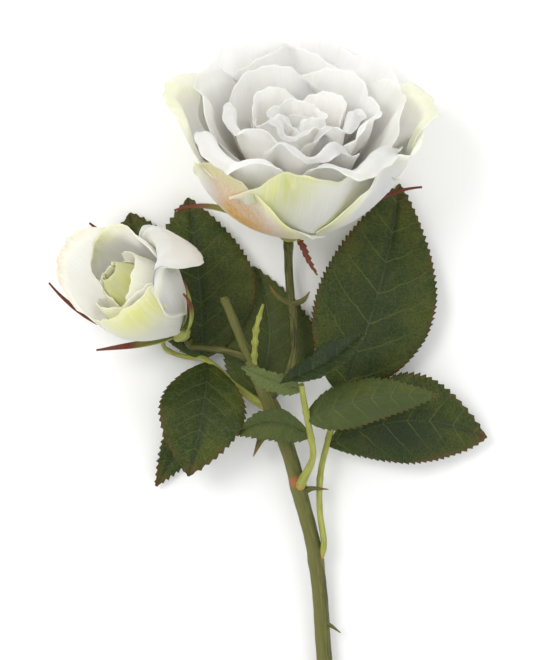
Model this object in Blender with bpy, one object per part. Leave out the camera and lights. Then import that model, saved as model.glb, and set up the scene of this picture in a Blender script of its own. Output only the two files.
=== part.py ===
"""A cut rose lying on its back: one open bloom, one bud, three compound leaves and a thorny stem.

Lengths are in millimetres until new_object turns them into metres. In the plant's frame X runs
across the rose, Y runs along the stem towards the bloom, Z stands up from the surface that the
rose lies on, and the origin lies under the joint of bloom and stalk. The empty "rose" then moves
the whole plant so that the model's own origin is the middle of its footprint.
"""

import math

import bmesh
import bpy
from mathutils import Matrix, Vector
from mathutils.bvhtree import BVHTree

MM = 0.001  # metres in a millimetre
GAP = 0.3  # clearance that touching pieces keep

# Driving dimensions of the plant
PETAL_THICKNESS = 0.4
LEAF_THICKNESS = 0.6
SEPAL_THICKNESS = 0.9
BLOOM_BASE = Vector((0.8, 12.4, 18.9))
BLOOM_PITCH = 34.0  # degrees that the bloom's axis is raised from the stem's line
BLOOM_LEAN = 4.0  # degrees that it leans to +X
BUD_BASE = Vector((-41.2, -28.6, 18.5))
BUD_AXIS = Vector((-0.61, 0.54, 0.60))


# ---------------------------------------------------------------- scene and objects


def clear_scene():
    for item in list(bpy.data.objects):
        bpy.data.objects.remove(item)


def material(name, colour, roughness):
    made = bpy.data.materials.new(name)
    made.use_nodes = True
    shader = made.node_tree.nodes["Principled BSDF"]
    shader.inputs["Base Color"].default_value = (*colour, 1.0)
    shader.inputs["Roughness"].default_value = roughness
    shader.inputs["Metallic"].default_value = 0.0
    return made


def new_empty(name, parent=None):
    empty = bpy.data.objects.new(name, None)
    bpy.context.scene.collection.objects.link(empty)
    empty.parent = parent
    return empty


def new_object(name, points, faces, finish, parent):
    """An object from points in millimetres, in its parent's frame."""
    mesh = bpy.data.meshes.new(name)
    mesh.from_pydata([tuple(Vector(p) * MM) for p in points], [], faces)
    shape = bmesh.new()
    shape.from_mesh(mesh)
    bmesh.ops.recalc_face_normals(shape, faces=shape.faces)
    shape.to_mesh(mesh)
    shape.free()
    mesh.materials.append(finish)
    mesh.shade_smooth()
    made = bpy.data.objects.new(name, mesh)
    bpy.context.scene.collection.objects.link(made)
    made.parent = parent
    return made


def as_helper(item):
    item.hide_render = True
    item.display_type = "WIRE"
    return item


def combine(item, other, operation):
    """Joins other to item, or cuts it away, as a live Boolean; other becomes a helper."""
    change = item.modifiers.new(f"{operation.lower()}_{other.name}", "BOOLEAN")
    change.operation = operation
    change.solver = "EXACT"
    change.object = as_helper(other)


# ---------------------------------------------------------------- curves, tubes and sheets


def bezier(control, t):
    a, b, c, d = (Vector(p) for p in control)
    s = 1.0 - t
    return a * s**3 + b * 3 * s * s * t + c * 3 * s * t * t + d * t**3


def smooth_path(points, per_span=4):
    """Points along a Catmull-Rom curve through the given points, each with its radius as a fourth number."""
    rows = [Vector(p) for p in points]
    rows = [rows[0] * 2 - rows[1], *rows, rows[-1] * 2 - rows[-2]]
    made = []
    for a, b, c, d in zip(rows, rows[1:], rows[2:], rows[3:]):
        for k in range(per_span):
            t = k / per_span
            bend = (a * -1 + b * 3 - c * 3 + d) * t**3 + (a * 2 - b * 5 + c * 4 - d) * t**2
            made.append((bend + (c - a) * t + b * 2) * 0.5)
    made.append(rows[-2])
    return made


def tube_shape(path, sides, grow=0.0):
    """Points and faces of a closed tube along path, whose points hold a radius as fourth number."""
    centres = [Vector(p[:3]) for p in path]
    points = []
    side = Vector((0.0, 0.0, 1.0))
    for k, centre in enumerate(centres):
        ahead = centres[min(k + 1, len(centres) - 1)] - centres[max(k - 1, 0)]
        ahead.normalize()
        side = (side - ahead * side.dot(ahead)).normalized()
        across = ahead.cross(side)
        for j in range(sides):
            turn = 2 * math.pi * j / sides
            spoke = side * math.cos(turn) + across * math.sin(turn)
            points.append(centre + spoke * (path[k][3] + grow))
    faces = [tuple(range(sides)), tuple(len(points) - 1 - j for j in range(sides))]
    for k in range(len(centres) - 1):
        for j in range(sides):
            a, b = k * sides + j, k * sides + (j + 1) % sides
            faces.append((a, b, b + sides, a + sides))
    return points, faces


def tube(name, points, finish, parent, sides=8, per_span=3, grow=0.0):
    return new_object(name, *tube_shape(smooth_path(points, per_span), sides, grow), finish, parent)


def grid_normals(grid):
    rows, columns = len(grid), len(grid[0])
    normals = []
    for i in range(rows):
        line = []
        for j in range(columns):
            up = grid[min(i + 1, rows - 1)][j] - grid[max(i - 1, 0)][j]
            along = grid[i][min(j + 1, columns - 1)] - grid[i][max(j - 1, 0)]
            line.append(up.cross(along).normalized())
        normals.append(line)
    return normals


def sheet_shape(grid, thickness):
    """Points and faces of a closed sheet of this thickness whose middle is the grid."""
    rows, columns = len(grid), len(grid[0])
    normals = grid_normals(grid)
    points = []
    for sign in (0.5, -0.5):
        for i in range(rows):
            points += [grid[i][j] + normals[i][j] * thickness * sign for j in range(columns)]
    back = rows * columns
    faces = []
    for i in range(rows - 1):
        for j in range(columns - 1):
            a, b = i * columns + j, i * columns + j + 1
            c, d = b + columns, a + columns
            # both sides are split along the same diagonal, so they never cross
            if (grid[i][j] - grid[i + 1][j + 1]).length < (grid[i][j + 1] - grid[i + 1][j]).length:
                halves = ((a, b, c), (a, c, d))
            else:
                halves = ((a, b, d), (b, c, d))
            for half in halves:
                faces.append(half)
                faces.append(tuple(back + k for k in reversed(half)))
    rim = [j for j in range(columns)]
    rim += [i * columns + columns - 1 for i in range(1, rows)]
    rim += [(rows - 1) * columns + j for j in range(columns - 2, -1, -1)]
    rim += [i * columns for i in range(rows - 2, 0, -1)]
    for a, b in zip(rim, rim[1:] + rim[:1]):
        faces.append((b, a, a + back, b + back))
    return points, faces


def turned(name, profile, steps, finish, parent):
    """A solid of revolution about Z from (radius, height) pairs, listed from bottom to top."""
    points = [Vector((0.0, 0.0, profile[0][1]))]
    for radius, height in profile:
        for k in range(steps):
            turn = 2 * math.pi * k / steps
            points.append(Vector((radius * math.cos(turn), radius * math.sin(turn), height)))
    points.append(Vector((0.0, 0.0, profile[-1][1])))
    faces = []
    for k in range(steps):
        after = (k + 1) % steps
        faces.append((0, 1 + after, 1 + k))
        for ring in range(len(profile) - 1):
            low = 1 + ring * steps
            faces.append((low + k, low + after, low + steps + after, low + steps + k))
        top = 1 + (len(profile) - 1) * steps
        faces.append((top + k, top + after, len(points) - 1))
    return new_object(name, points, faces, finish, parent)


# ---------------------------------------------------------------- petals


def smoothstep(low, high, x):
    t = min(1.0, max(0.0, (x - low) / (high - low)))
    return t * t * (3 - 2 * t)


class Petal:
    """One petal in its flower's frame, whose Z is the flower's axis.

    azimuth   direction from the axis, in degrees: 0 is +X, 90 is the flower's back
    ring      distance of its foot from the axis
    belly, shoulder, rim   (radius, height) that its middle line bends through
    lip       (length, turn): how far it goes on past the rim, and by how many degrees it rolls out
    width     its widest measure, along the surface
    cup       1 follows a circle about the axis, more is hollower, less is flatter
    ruffle    (height, waves, phase) of the waves in its edge
    corner    how much shorter it is at its sides than in its middle
    """

    def __init__(self, name, azimuth, ring, belly, shoulder, rim, width, lip=(0, 0), cup=1.0,
                 ruffle=(0.0, 2.0, 0.0), corner=0.25):
        self.name, self.azimuth, self.ring, self.width = name, azimuth, ring, width
        self.control = [(ring, FOOT - SLOPE * ring), belly, shoulder, rim]
        self.lip, self.cup, self.ruffle, self.corner = lip, cup, ruffle, corner
        self.line = self.middle_line()
        self.columns = 7

    def middle_line(self):
        """The middle line as (radius, height) points a fixed step apart, with its lip."""
        fine = [bezier([(*p, 0.0) for p in self.control], k / LINE_STEPS) for k in range(LINE_STEPS + 1)]
        length, turn = self.lip
        ahead = (fine[-1] - fine[-2]).normalized()
        for k in range(1, LIP_STEPS + 1):
            bend = -math.radians(turn) * k / LIP_STEPS
            way = Vector((ahead.x * math.cos(bend) - ahead.y * math.sin(bend),
                          ahead.x * math.sin(bend) + ahead.y * math.cos(bend), 0.0))
            fine.append(fine[-1] + way * (max(length, 0.01) / LIP_STEPS))
        reach = [0.0]
        for a, b in zip(fine, fine[1:]):
            reach.append(reach[-1] + (b - a).length)
        self.length = reach[-1]
        return list(zip(reach, fine))

    def on_line(self, share):
        """(point, direction) of the middle line at a share of its length; beyond 1 it runs on straight."""
        want = share * self.length
        for (low, a), (high, b) in zip(self.line, self.line[1:]):
            if want <= high or high == self.length:
                way = (b - a).normalized()
                return a + way * (want - low), way
        return self.line[-1][1], Vector((0, 1, 0))

    def half_width(self, share):
        foot = min(0.28 * self.ring, 0.3 * self.width)
        swell = math.sin(min(1.0, share / 0.72) * math.pi / 2) ** 2.1
        return foot + (self.width / 2 - foot) * swell

    def point(self, along, across):
        """The point of its surface at along (0 foot, 1 tip) and across (-1 left, 1 right)."""
        side = min(abs(across), 1.2)
        middle, way = self.on_line(along * (1.0 - self.corner * side**2.6))
        out = Vector((way.y, -way.x))  # away from the axis
        high, waves, phase = self.ruffle
        lift = high * smoothstep(0.35, 1.0, along) * math.sin(math.pi * (waves * across + phase))
        radius = max(middle.x / self.cup, 1.0)
        swing = self.half_width(along) * across / radius
        swing = max(-2.2, min(2.2, swing))
        inward = radius * (1 - math.cos(swing))
        local = Vector((middle.x - inward + out.x * lift, radius * math.sin(swing), middle.y + out.y * lift))
        return Matrix.Rotation(math.radians(self.azimuth), 3, "Z") @ local


class Sepal(Petal):
    """A narrow pointed leaf of the calyx; line holds four (radius, height) points that it bends through."""

    def __init__(self, name, azimuth, line, width, sweep=0.0):
        super().__init__(name, azimuth, line[0][0], *line[1:], width, corner=0.0)
        self.control[0] = line[0]
        self.line = self.middle_line()
        self.sweep = sweep
        self.columns = 3

    def half_width(self, share):
        return max(0.5 * self.width * math.sin(math.pi * min(share, 1.0) ** 0.75) ** 0.8, 0.45)

    def point(self, along, across):
        turn = math.radians(self.sweep * max(along, 0.0) ** 2)
        return Matrix.Rotation(turn, 3, "Z") @ super().point(along, across)


LINE_STEPS, LIP_STEPS = 24, 8
SLOPE = 0.9  # fall of the cone that the petals stand on
FOOT = 0.6  # how far above that cone they start
FAR = 200.0  # farther out than any petal reaches
ROWS = (0.0, 0.09, 0.22, 0.4, 0.6, 0.8, 1.0)  # where along a petal its points stand
MARGIN = 0.12  # how far past its own edge a petal holds the next one off


def petal_grid(petal):
    """Its surface as rows of points, with one more row and column outside each free edge."""
    acrosses = [2 * j / (petal.columns - 1) - 1 for j in range(petal.columns)]
    acrosses = [-1 - MARGIN, *acrosses, 1 + MARGIN]
    return [[petal.point(a, c) for c in acrosses] for a in (*ROWS, 1 + MARGIN)]


def surface(grid, last_row=None):
    """The grid as a surface that rays can hit, drawn out below its foot."""
    rows = grid if last_row is None else grid[:last_row]
    rows = [[p - Vector((0.0, 0.0, 3.0)) for p in rows[0]], *rows]
    columns = len(rows[0])
    points = [p for row in rows for p in row]
    faces = []
    for i in range(len(rows) - 1):
        for j in range(columns - 1):
            a = i * columns + j
            faces.append((a, a + 1, a + columns + 1, a + columns))
    return BVHTree.FromPolygons(points, faces)


def outward(point):
    """(start, direction) of the level ray from the flower's axis through the point."""
    return Vector((0.0, 0.0, point.z)), Vector((point.x, point.y, 0.0)).normalized()


def needed_push(point, inner, spacing):
    """How far outward the point must move to clear the inner surfaces by spacing."""
    start, way = outward(point)
    need = 0.0
    for tree in inner:
        hit, normal, _, distance = tree.ray_cast(start + way * FAR, -way, FAR)
        if hit is not None:
            slant = max(abs(normal.dot(way)), 0.5)
            need = max(need, FAR - distance + spacing / slant - point.xy.length)
    return need


def lay_over(grid, inner, spacing):
    """Moves the grid's points outward until its faces clear the surfaces inside them; its foot stays."""
    rows, columns = len(grid), len(grid[0])
    need = [[0.0] * columns for _ in range(rows)]
    for a in range(1, 2 * rows - 3):
        for b in range(2, 2 * columns - 3):
            around = [(i, j) for i in {a // 2, (a + 1) // 2} for j in {b // 2, (b + 1) // 2}]
            point = sum((grid[i][j] for i, j in around), Vector()) / len(around)
            push = needed_push(point, inner, spacing)
            for i, j in around:
                need[i][j] = max(need[i][j], push)
    push = need
    for _ in range(2):
        spread = [row[:] for row in push]
        for i in range(1, rows - 1):
            for j in range(1, columns - 1):
                near = [push[a][b] for a, b in ((i - 1, j), (i + 1, j), (i, j - 1), (i, j + 1))
                        if 0 < a < rows - 1 and 0 < b < columns - 1]
                spread[i][j] = max(need[i][j], 0.5 * push[i][j] + 0.5 * sum(near) / len(near))
        push = spread
    for i in range(1, rows):
        for j in range(columns):
            amount = push[min(i, rows - 2)][min(max(j, 1), columns - 2)]
            grid[i][j] = grid[i][j] + outward(grid[i][j])[1] * amount


def lay_petals(petals, spacing):
    """The petals' sheets, from the inside out, each laid over the ones inside it and clear of them."""
    sheets, inner, solids = [], [], []
    for petal in petals:
        for extra in range(6):
            grid = petal_grid(petal)
            lay_over(grid, inner, spacing + 0.2 * extra)
            sheet = [row[1:-1] for row in grid[:-1]]
            body = BVHTree.FromPolygons(*sheet_shape(sheet, PETAL_THICKNESS + GAP))
            if not any(body.overlap(other) for other in solids):
                break
        lip_share = petal.lip[0] / petal.length if petal.lip[1] > 60 else 0.0
        inner.append(surface(grid, round(len(ROWS) * (1 - lip_share)) + 1 if lip_share else None))
        solids.append(body)
        sheets.append(sheet)
    return sheets


# ---------------------------------------------------------------- leaves


class Leaf:
    """A leaf or sepal: a bent sheet from base to tip whose upper side looks along facing.

    bow    how far its middle line arches up between base and tip
    fold   degrees that its two halves rise from the midrib
    sag    how far its tip hooks down
    twist  degrees that it turns about its own line from base to tip
    wave   (height, count) of the waves in its edge
    """

    def __init__(self, name, base, tip, facing, width, bow=0.0, fold=8.0, sag=0.0, twist=0.0,
                 wave=(0.8, 2.0), bend=0.0, widest=0.42):
        self.name, self.base, self.tip, self.width = name, Vector(base), Vector(tip), width
        self.bow, self.fold, self.sag, self.twist = bow, fold, sag, twist
        self.wave, self.bend, self.widest = wave, bend, widest
        self.ahead = (self.tip - self.base).normalized()
        self.up = Vector(facing)
        self.up = (self.up - self.ahead * self.up.dot(self.ahead)).normalized()
        self.right = self.ahead.cross(self.up)

    def half_width(self, t):
        power = math.log(0.5) / math.log(self.widest)
        return max(0.5 * self.width * math.sin(math.pi * t**power) ** 0.85, 0.45)

    def point(self, t, across):
        arch = math.sin(math.pi * t)
        middle = self.base.lerp(self.tip, t)
        middle = middle + self.up * (self.bow * arch - self.sag * t**3) + self.right * (self.bend * arch)
        turn = math.radians(self.twist) * t
        right = self.right * math.cos(turn) + self.up * math.sin(turn)
        up = self.up * math.cos(turn) - self.right * math.sin(turn)
        half = self.half_width(t)
        rise = math.sin(math.radians(self.fold)) * abs(across)
        high, count = self.wave
        wave = high * across * across * math.sin(2 * math.pi * count * t + (1.3 if across > 0 else 0.0)) * arch
        return middle + right * (half * across * math.cos(math.radians(self.fold))) + up * (half * rise + wave)

    def grid(self, rows, columns):
        return [[self.point(i / (rows - 1), 2 * j / (columns - 1) - 1) for j in range(columns)]
                for i in range(rows)]


def leaf_object(leaf, finish, parent, thickness=LEAF_THICKNESS, rows=9, columns=5):
    points, faces = sheet_shape(leaf.grid(rows, columns), thickness)
    return new_object(leaf.name, points, faces, finish, parent)


# ---------------------------------------------------------------- what the rose is made of

# Each tube is a list of (x, y, z, radius)
MAIN_STEM = [(14.6, -186.0, 3.4, 2.9), (13.4, -160.0, 4.5, 2.8), (11.4, -130.0, 6.0, 2.75),
             (9.4, -111.0, 7.6, 2.7), (4.6, -91.0, 9.0, 2.7), (-0.3, -73.2, 10.5, 2.7),
             (-5.2, -60.5, 11.5, 2.8), (-10.2, -49.0, 13.0, 2.5), (-16.0, -35.6, 16.0, 1.9),
             (-22.1, -20.8, 20.0, 1.5)]
BLOOM_STALK = [(-8.6, -57.0, 12.0, 1.5), (-2.8, -50.1, 13.4, 1.55), (0.6, -43.0, 13.2, 1.55),
               (1.8, -34.2, 11.8, 1.5), (0.8, -20.1, 9.0, 1.5), (-0.1, -9.0, 6.9, 1.5), (-0.2, 0.8, 11.0, 1.6)]
BUD_STALK = [(-13.4, -41.4, 14.8, 1.3), (-19.0, -38.8, 15.4, 1.35), (-26.0, -37.4, 14.4, 1.3),
             (-32.0, -36.6, 11.8, 1.25), (-34.9, -36.2, 10.2, 1.3), (-36.0, -33.5, 12.1, 1.4)]
YOUNG_SHOOT = [(-12.2, -44.5, 14.0, 0.9), (-12.0, -37.0, 19.5, 0.9), (-11.4, -29.5, 21.5, 0.85),
               (-9.1, -21.5, 22.5, 0.5)]
RIGHT_RACHIS = [(9.6, -114.0, 7.6, 1.5), (12.4, -107.0, 8.8, 1.5), (10.9, -94.5, 9.4, 1.1),
                (11.4, -80.3, 9.2, 1.1), (14.9, -66.1, 9.4, 1.1), (18.6, -54.0, 8.0, 1.0)]
FRONT_RACHIS = [(3.4, -87.0, 9.4, 1.7), (5.2, -83.0, 14.0, 1.6), (8.4, -75.0, 19.5, 1.15),
                (7.2, -66.0, 24.5, 1.15), (5.2, -56.0, 31.0, 1.05), (4.2, -49.5, 35.5, 0.95)]
LEFT_RACHIS = [(-6.4, -58.0, 11.0, 1.6), (-12.0, -55.6, 9.8, 1.6), (-20.0, -49.5, 8.0, 1.1),
               (-27.0, -43.0, 6.6, 1.05), (-33.0, -39.6, 5.4, 1.0), (-38.6, -37.6, 4.6, 0.95)]
THORNS = [[(-5.0, -60.6, 11.4, 1.8), (-9.8, -67.0, 11.8, 1.2), (-12.0, -72.4, 12.4, 0.15)],
          [(4.4, -88.4, 9.6, 1.8), (8.0, -86.8, 11.0, 0.9), (14.0, -87.0, 12.4, 0.15)],
          [(11.0, -135.0, 6.2, 1.6), (14.6, -135.6, 7.4, 0.8), (18.4, -138.2, 8.2, 0.15)],
          [(12.6, -158.0, 5.0, 1.6), (9.0, -158.6, 6.6, 0.8), (5.4, -161.2, 7.6, 0.15)]]

LEAVES = {
    "right": [
        Leaf("right_upper_leaflet", (18.8, -53.6, 7.8), (39.6, 21.4, 4.0), (0.1, 0.05, 1.0), 43.0,
             bow=3.0, fold=7.0, bend=2.5),
        Leaf("right_lower_leaflet", (13.4, -71.5, 9.4), (70.4, -68.8, 6.5), (0.0, -0.15, 1.0), 33.0,
             bow=8.0, fold=-16.0, bend=-9.0, widest=0.58),
    ],
    "front": [
        Leaf("front_end_leaflet", (-3.4, -49.0, 39.6), (26.4, -31.0, 38.6), (-0.5, 0.55, 0.68), 12.0,
             bow=-3.0, fold=14.0, twist=-25.0, widest=0.5),
        Leaf("front_right_leaflet", (6.2, -61.0, 27.8), (52.4, -53.4, 29.0), (0.05, 0.25, 1.0), 21.0,
             bow=4.5, fold=-12.0, bend=-2.0, widest=0.34),
        Leaf("front_left_leaflet", (4.9, -51.4, 33.8), (-16.6, -43.6, 33.0), (0.1, -0.5, 0.86), 8.6,
             bow=1.5, fold=10.0),
        Leaf("front_low_leaflet", (7.6, -68.0, 23.4), (-19.4, -69.6, 19.5), (0.15, -0.3, 1.0), 14.0,
             bow=2.0, fold=12.0, bend=5.0),
    ],
    "left": [
        Leaf("left_upper_leaflet", (-30.4, -41.0, 5.9), (-35.8, 16.4, 6.4), (0.05, 0.1, 1.0), 40.0,
             bow=1.6, fold=3.0, bend=1.0),
        Leaf("left_lower_leaflet", (-28.6, -42.0, 6.3), (-35.4, -82.0, 18.0), (0.0, 0.25, 1.0), 31.0,
             bow=7.0, fold=9.0, bend=-1.5, widest=0.48),
        Leaf("left_under_leaflet", (-20.0, -49.6, 8.0), (-47.4, -86.4, 4.0), (0.1, 0.1, 1.0), 17.0,
             bow=-3.0, fold=8.0, bend=2.0),
        Leaf("left_far_leaflet", (-38.2, -37.8, 4.7), (-56.6, 11.2, 3.6), (0.1, 0.1, 1.0), 27.0,
             bow=-1.0, fold=3.0, bend=-3.0, widest=0.6),
        Leaf("left_middle_leaflet", (-12.4, -55.2, 7.9), (-12.6, -7.9, 1.8), (0.1, 0.0, 1.0), 33.0,
             bow=-1.5, fold=3.0, bend=6.0),
    ],
}

# The bloom, from its heart outwards
BLOOM = [
    Petal("heart_petal_a", 265, 1.2, (2.5, 10.4), (6.5, 23.5), (3.4, 34.3), 15, cup=1.2),
    Petal("heart_petal_b", 85, 1.2, (2.5, 10.4), (6.5, 23.5), (4.0, 35), 16, cup=1.1),
    Petal("core_petal_a", 330, 2.6, (3.5, 10.4), (11, 23.5), (7.5, 36.8), 24, lip=(3, 50), ruffle=(1.0, 2.0, 0.3)),
    Petal("core_petal_b", 210, 2.6, (3.5, 10.4), (11, 23.5), (8.0, 35.9), 26, lip=(3, 45), ruffle=(1.0, 2.4, 0.9)),
    Petal("core_petal_c", 90, 2.6, (3.5, 10.4), (11, 23.5), (8.5, 38.4), 27, ruffle=(0.8, 2.0, 0.1)),
    Petal("inner_petal_a", 255, 4.1, (4.5, 10.4), (17, 23.5), (14.5, 37.5), 35, lip=(4, 55), ruffle=(1.2, 2.6, 0.2)),
    Petal("inner_petal_b", 30, 4.1, (4.5, 10.4), (17, 23.5), (15.0, 39.3), 36, lip=(2, 30), ruffle=(1.0, 2.0, 0.7)),
    Petal("inner_petal_c", 145, 4.1, (4.5, 10.4), (17, 23.5), (15.5, 40.9), 38, ruffle=(0.9, 2.0, 0.2)),
    Petal("inner_petal_d", 325, 4.1, (4.5, 10.4), (18, 23.5), (17.0, 38.4), 36, lip=(4, 50), ruffle=(1.2, 2.2, 0.5)),
    Petal("middle_petal_a", 215, 5.7, (5.5, 10.4), (24, 23.5), (23.5, 38.0), 46, lip=(8, 95), ruffle=(1.4, 2.2, 0.4)),
    Petal("middle_petal_b", 345, 5.7, (5.5, 10.4), (24, 23.5), (25.0, 40.9), 46, lip=(4, 45), ruffle=(1.4, 2.6, 0.1)),
    Petal("middle_petal_c", 120, 5.7, (5.5, 10.4), (24, 23.5), (26.0, 42.6), 48, ruffle=(1.2, 2.0, 0.3)),
    Petal("middle_petal_d", 280, 5.7, (5.5, 10.4), (25, 23.5), (27.0, 37.8), 50, lip=(10, 105), ruffle=(1.6, 2.8, 0.8)),
    Petal("middle_petal_e", 52, 5.7, (5.5, 10.4), (25, 23.5), (27.0, 43.4), 48, ruffle=(1.2, 2.2, 0.9)),
    Petal("wide_petal_a", 172, 7.3, (6.5, 10.4), (30, 23.5), (33.0, 41.8), 54, lip=(5, 45), ruffle=(1.6, 2.4, 0.6)),
    Petal("wide_petal_b", 8, 7.3, (6.5, 10.4), (30, 23.5), (34.0, 42.6), 54, lip=(3, 35), ruffle=(1.6, 2.2, 0.2)),
    Petal("wide_petal_c", 232, 7.3, (14, 5.0), (34, 18.0), (34.0, 33.4), 58, lip=(15, 125), ruffle=(1.8, 2.8, 0.4)),
    Petal("wide_petal_d", 95, 7.3, (6.5, 10.4), (31, 23.5), (33.5, 44.3), 58, ruffle=(1.6, 2.2, 0.5)),
    Petal("wide_petal_e", 308, 7.3, (12, 7.0), (33, 19.0), (33.5, 34.6), 58, lip=(12, 115), ruffle=(1.8, 2.6, 0.9)),
    Petal("outer_petal_a", 65, 8.9, (8, 10.4), (36, 23.5), (39.5, 43.4), 62, lip=(3, 25), ruffle=(1.8, 2.6, 0.2)),
    Petal("outer_petal_b", 120, 8.9, (8, 10.4), (36, 23.5), (38.5, 44.3), 60, lip=(3, 25), ruffle=(1.8, 2.8, 0.7)),
    Petal("outer_petal_c", 8, 8.9, (15, 5.0), (38, 18.0), (42.5, 38.4), 54, lip=(4, 35), ruffle=(1.6, 2.0, 0.5)),
    Petal("outer_petal_d", 178, 8.9, (15, 5.0), (38, 18.0), (42.0, 39.3), 56, lip=(4, 35), ruffle=(1.6, 2.0, 0.8)),
    Petal("outer_petal_e", 287, 8.9, (22, 0.0), (39, 13.0), (37.5, 34.4), 68, lip=(2, 40), ruffle=(1.6, 2.4, 0.5)),
    Petal("outer_petal_f", 334, 8.9, (20, 1.2), (39, 14.6), (40.5, 36.4), 50, lip=(4, 60), ruffle=(1.6, 2.4, 0.6)),
    Petal("outer_petal_g", 226, 8.9, (22, -1.0), (37, 9.0), (37.0, 27.4), 48, lip=(3, 50), ruffle=(1.2, 2.0, 0.1)),
]

# The bud, from its heart outwards
BUD = [
    Petal("bud_heart_petal_a", 250, 1.1, (5, 8), (12, 20), (3.4, 33), 22),
    Petal("bud_heart_petal_b", 70, 1.1, (5, 8), (12, 20), (4.2, 34), 22),
    Petal("bud_inner_petal_a", 130, 2.6, (7, 8), (16, 18), (8.2, 32), 34, ruffle=(0.5, 2.0, 0.2)),
    Petal("bud_inner_petal_b", 352, 2.6, (8, 8), (18, 17), (9.2, 32), 40, ruffle=(0.5, 2.0, 0.6)),
    Petal("bud_inner_petal_c", 245, 2.6, (8, 8), (18, 15), (10.5, 28.8), 46, ruffle=(0.5, 2.0, 0.9)),
    Petal("bud_outer_petal_a", 56, 4.1, (10, 7), (19, 18), (15.0, 36), 42, lip=(3, 30), ruffle=(0.8, 2.0, 0.7)),
    Petal("bud_outer_petal_b", 268, 4.1, (11, 6), (20, 16), (15.0, 26), 54, lip=(2, 20), ruffle=(0.6, 2.0, 0.5)),
    Petal("bud_outer_petal_c", 126, 4.1, (11, 6), (20, 18), (16.0, 42), 40, lip=(3, 40), ruffle=(0.8, 2.0, 0.3)),
    Petal("bud_outer_petal_d", 2, 4.1, (11, 6), (18, 17), (17.0, 27), 30, lip=(16, 115), ruffle=(0.3, 2.0, 0.1)),
]

BLOOM_SEPALS = [
    Sepal("bloom_sepal_a", 188, [(3.0, -9.9), (11.0, -10.5), (24.0, 6.0), (41.0, -2.0)], 4.6, sweep=-3.0),
    Sepal("bloom_sepal_b", 349, [(3.0, -9.9), (11.0, -10.5), (30.0, 13.0), (45.0, 16.5)], 4.2),
    Sepal("bloom_sepal_c", 302, [(3.0, -9.9), (11.0, -10.5), (8.0, -12.0), (17.0, -19.0)], 3.4, sweep=6.0),
    Sepal("bloom_sepal_d", 120, [(3.0, -9.9), (11.0, -10.5), (18.0, 4.0), (23.0, 9.0)], 5.0),
    Sepal("bloom_sepal_e", 62, [(3.0, -9.9), (11.0, -10.5), (17.0, 4.0), (20.0, 10.0)], 5.0),
]
BUD_SEPALS = [
    Sepal("bud_sepal_a", 165, [(2.0, -5.6), (12.0, 0.0), (26.0, 12.0), (29.0, 37.0)], 4.2, sweep=-17.0),
    Sepal("bud_sepal_b", 184, [(2.0, -5.6), (10.0, -2.0), (19.0, 6.0), (28.0, 14.0)], 5.0, sweep=-3.0),
    Sepal("bud_sepal_c", 356, [(2.0, -5.6), (8.0, -2.0), (13.0, 4.0), (15.0, 12.0)], 4.6, sweep=4.0),
    Sepal("bud_sepal_d", 322, [(2.0, -5.6), (12.0, 0.0), (20.0, 10.0), (21.0, 17.0)], 3.4),
    Sepal("bud_sepal_e", 88, [(2.0, -5.6), (12.0, 0.0), (24.0, 14.0), (27.0, 37.0)], 4.2, sweep=6.0),
]


# ---------------------------------------------------------------- building


def axis_frame(base, axis, sideways):
    """The turn and shift from a flower's frame to the plant's; its X runs as near sideways as it can."""
    up = Vector(axis).normalized()
    right = Vector(sideways)
    right = (right - up * right.dot(up)).normalized()
    turn = Matrix((right, up.cross(right), up)).transposed()
    return Matrix.LocRotScale(base, turn.to_quaternion(), None)


def in_frame(frame, sheets):
    return [[[frame @ p for p in row] for row in grid] for grid in sheets]


def build_flower(petals, sepals, hip, frame, finish, parent):
    """The petals, each its own piece, and the receptacle hip with its sepals as one body."""
    grids = in_frame(frame, lay_petals(petals + sepals, PETAL_THICKNESS + 0.4))
    for petal, grid in zip(petals, grids):
        new_object(petal.name, *sheet_shape(grid, PETAL_THICKNESS), finish, parent)
    for sepal, grid in zip(sepals, grids[len(petals):]):
        piece = new_object(sepal.name, *sheet_shape(grid, SEPAL_THICKNESS), hip.active_material, parent)
        combine(hip, piece, "UNION")


def receptacle(name, profile, frame, finish, parent):
    hip = turned(name, profile, 12, finish, parent)
    for vertex in hip.data.vertices:
        vertex.co = frame @ (vertex.co / MM) * MM
    return hip


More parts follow.
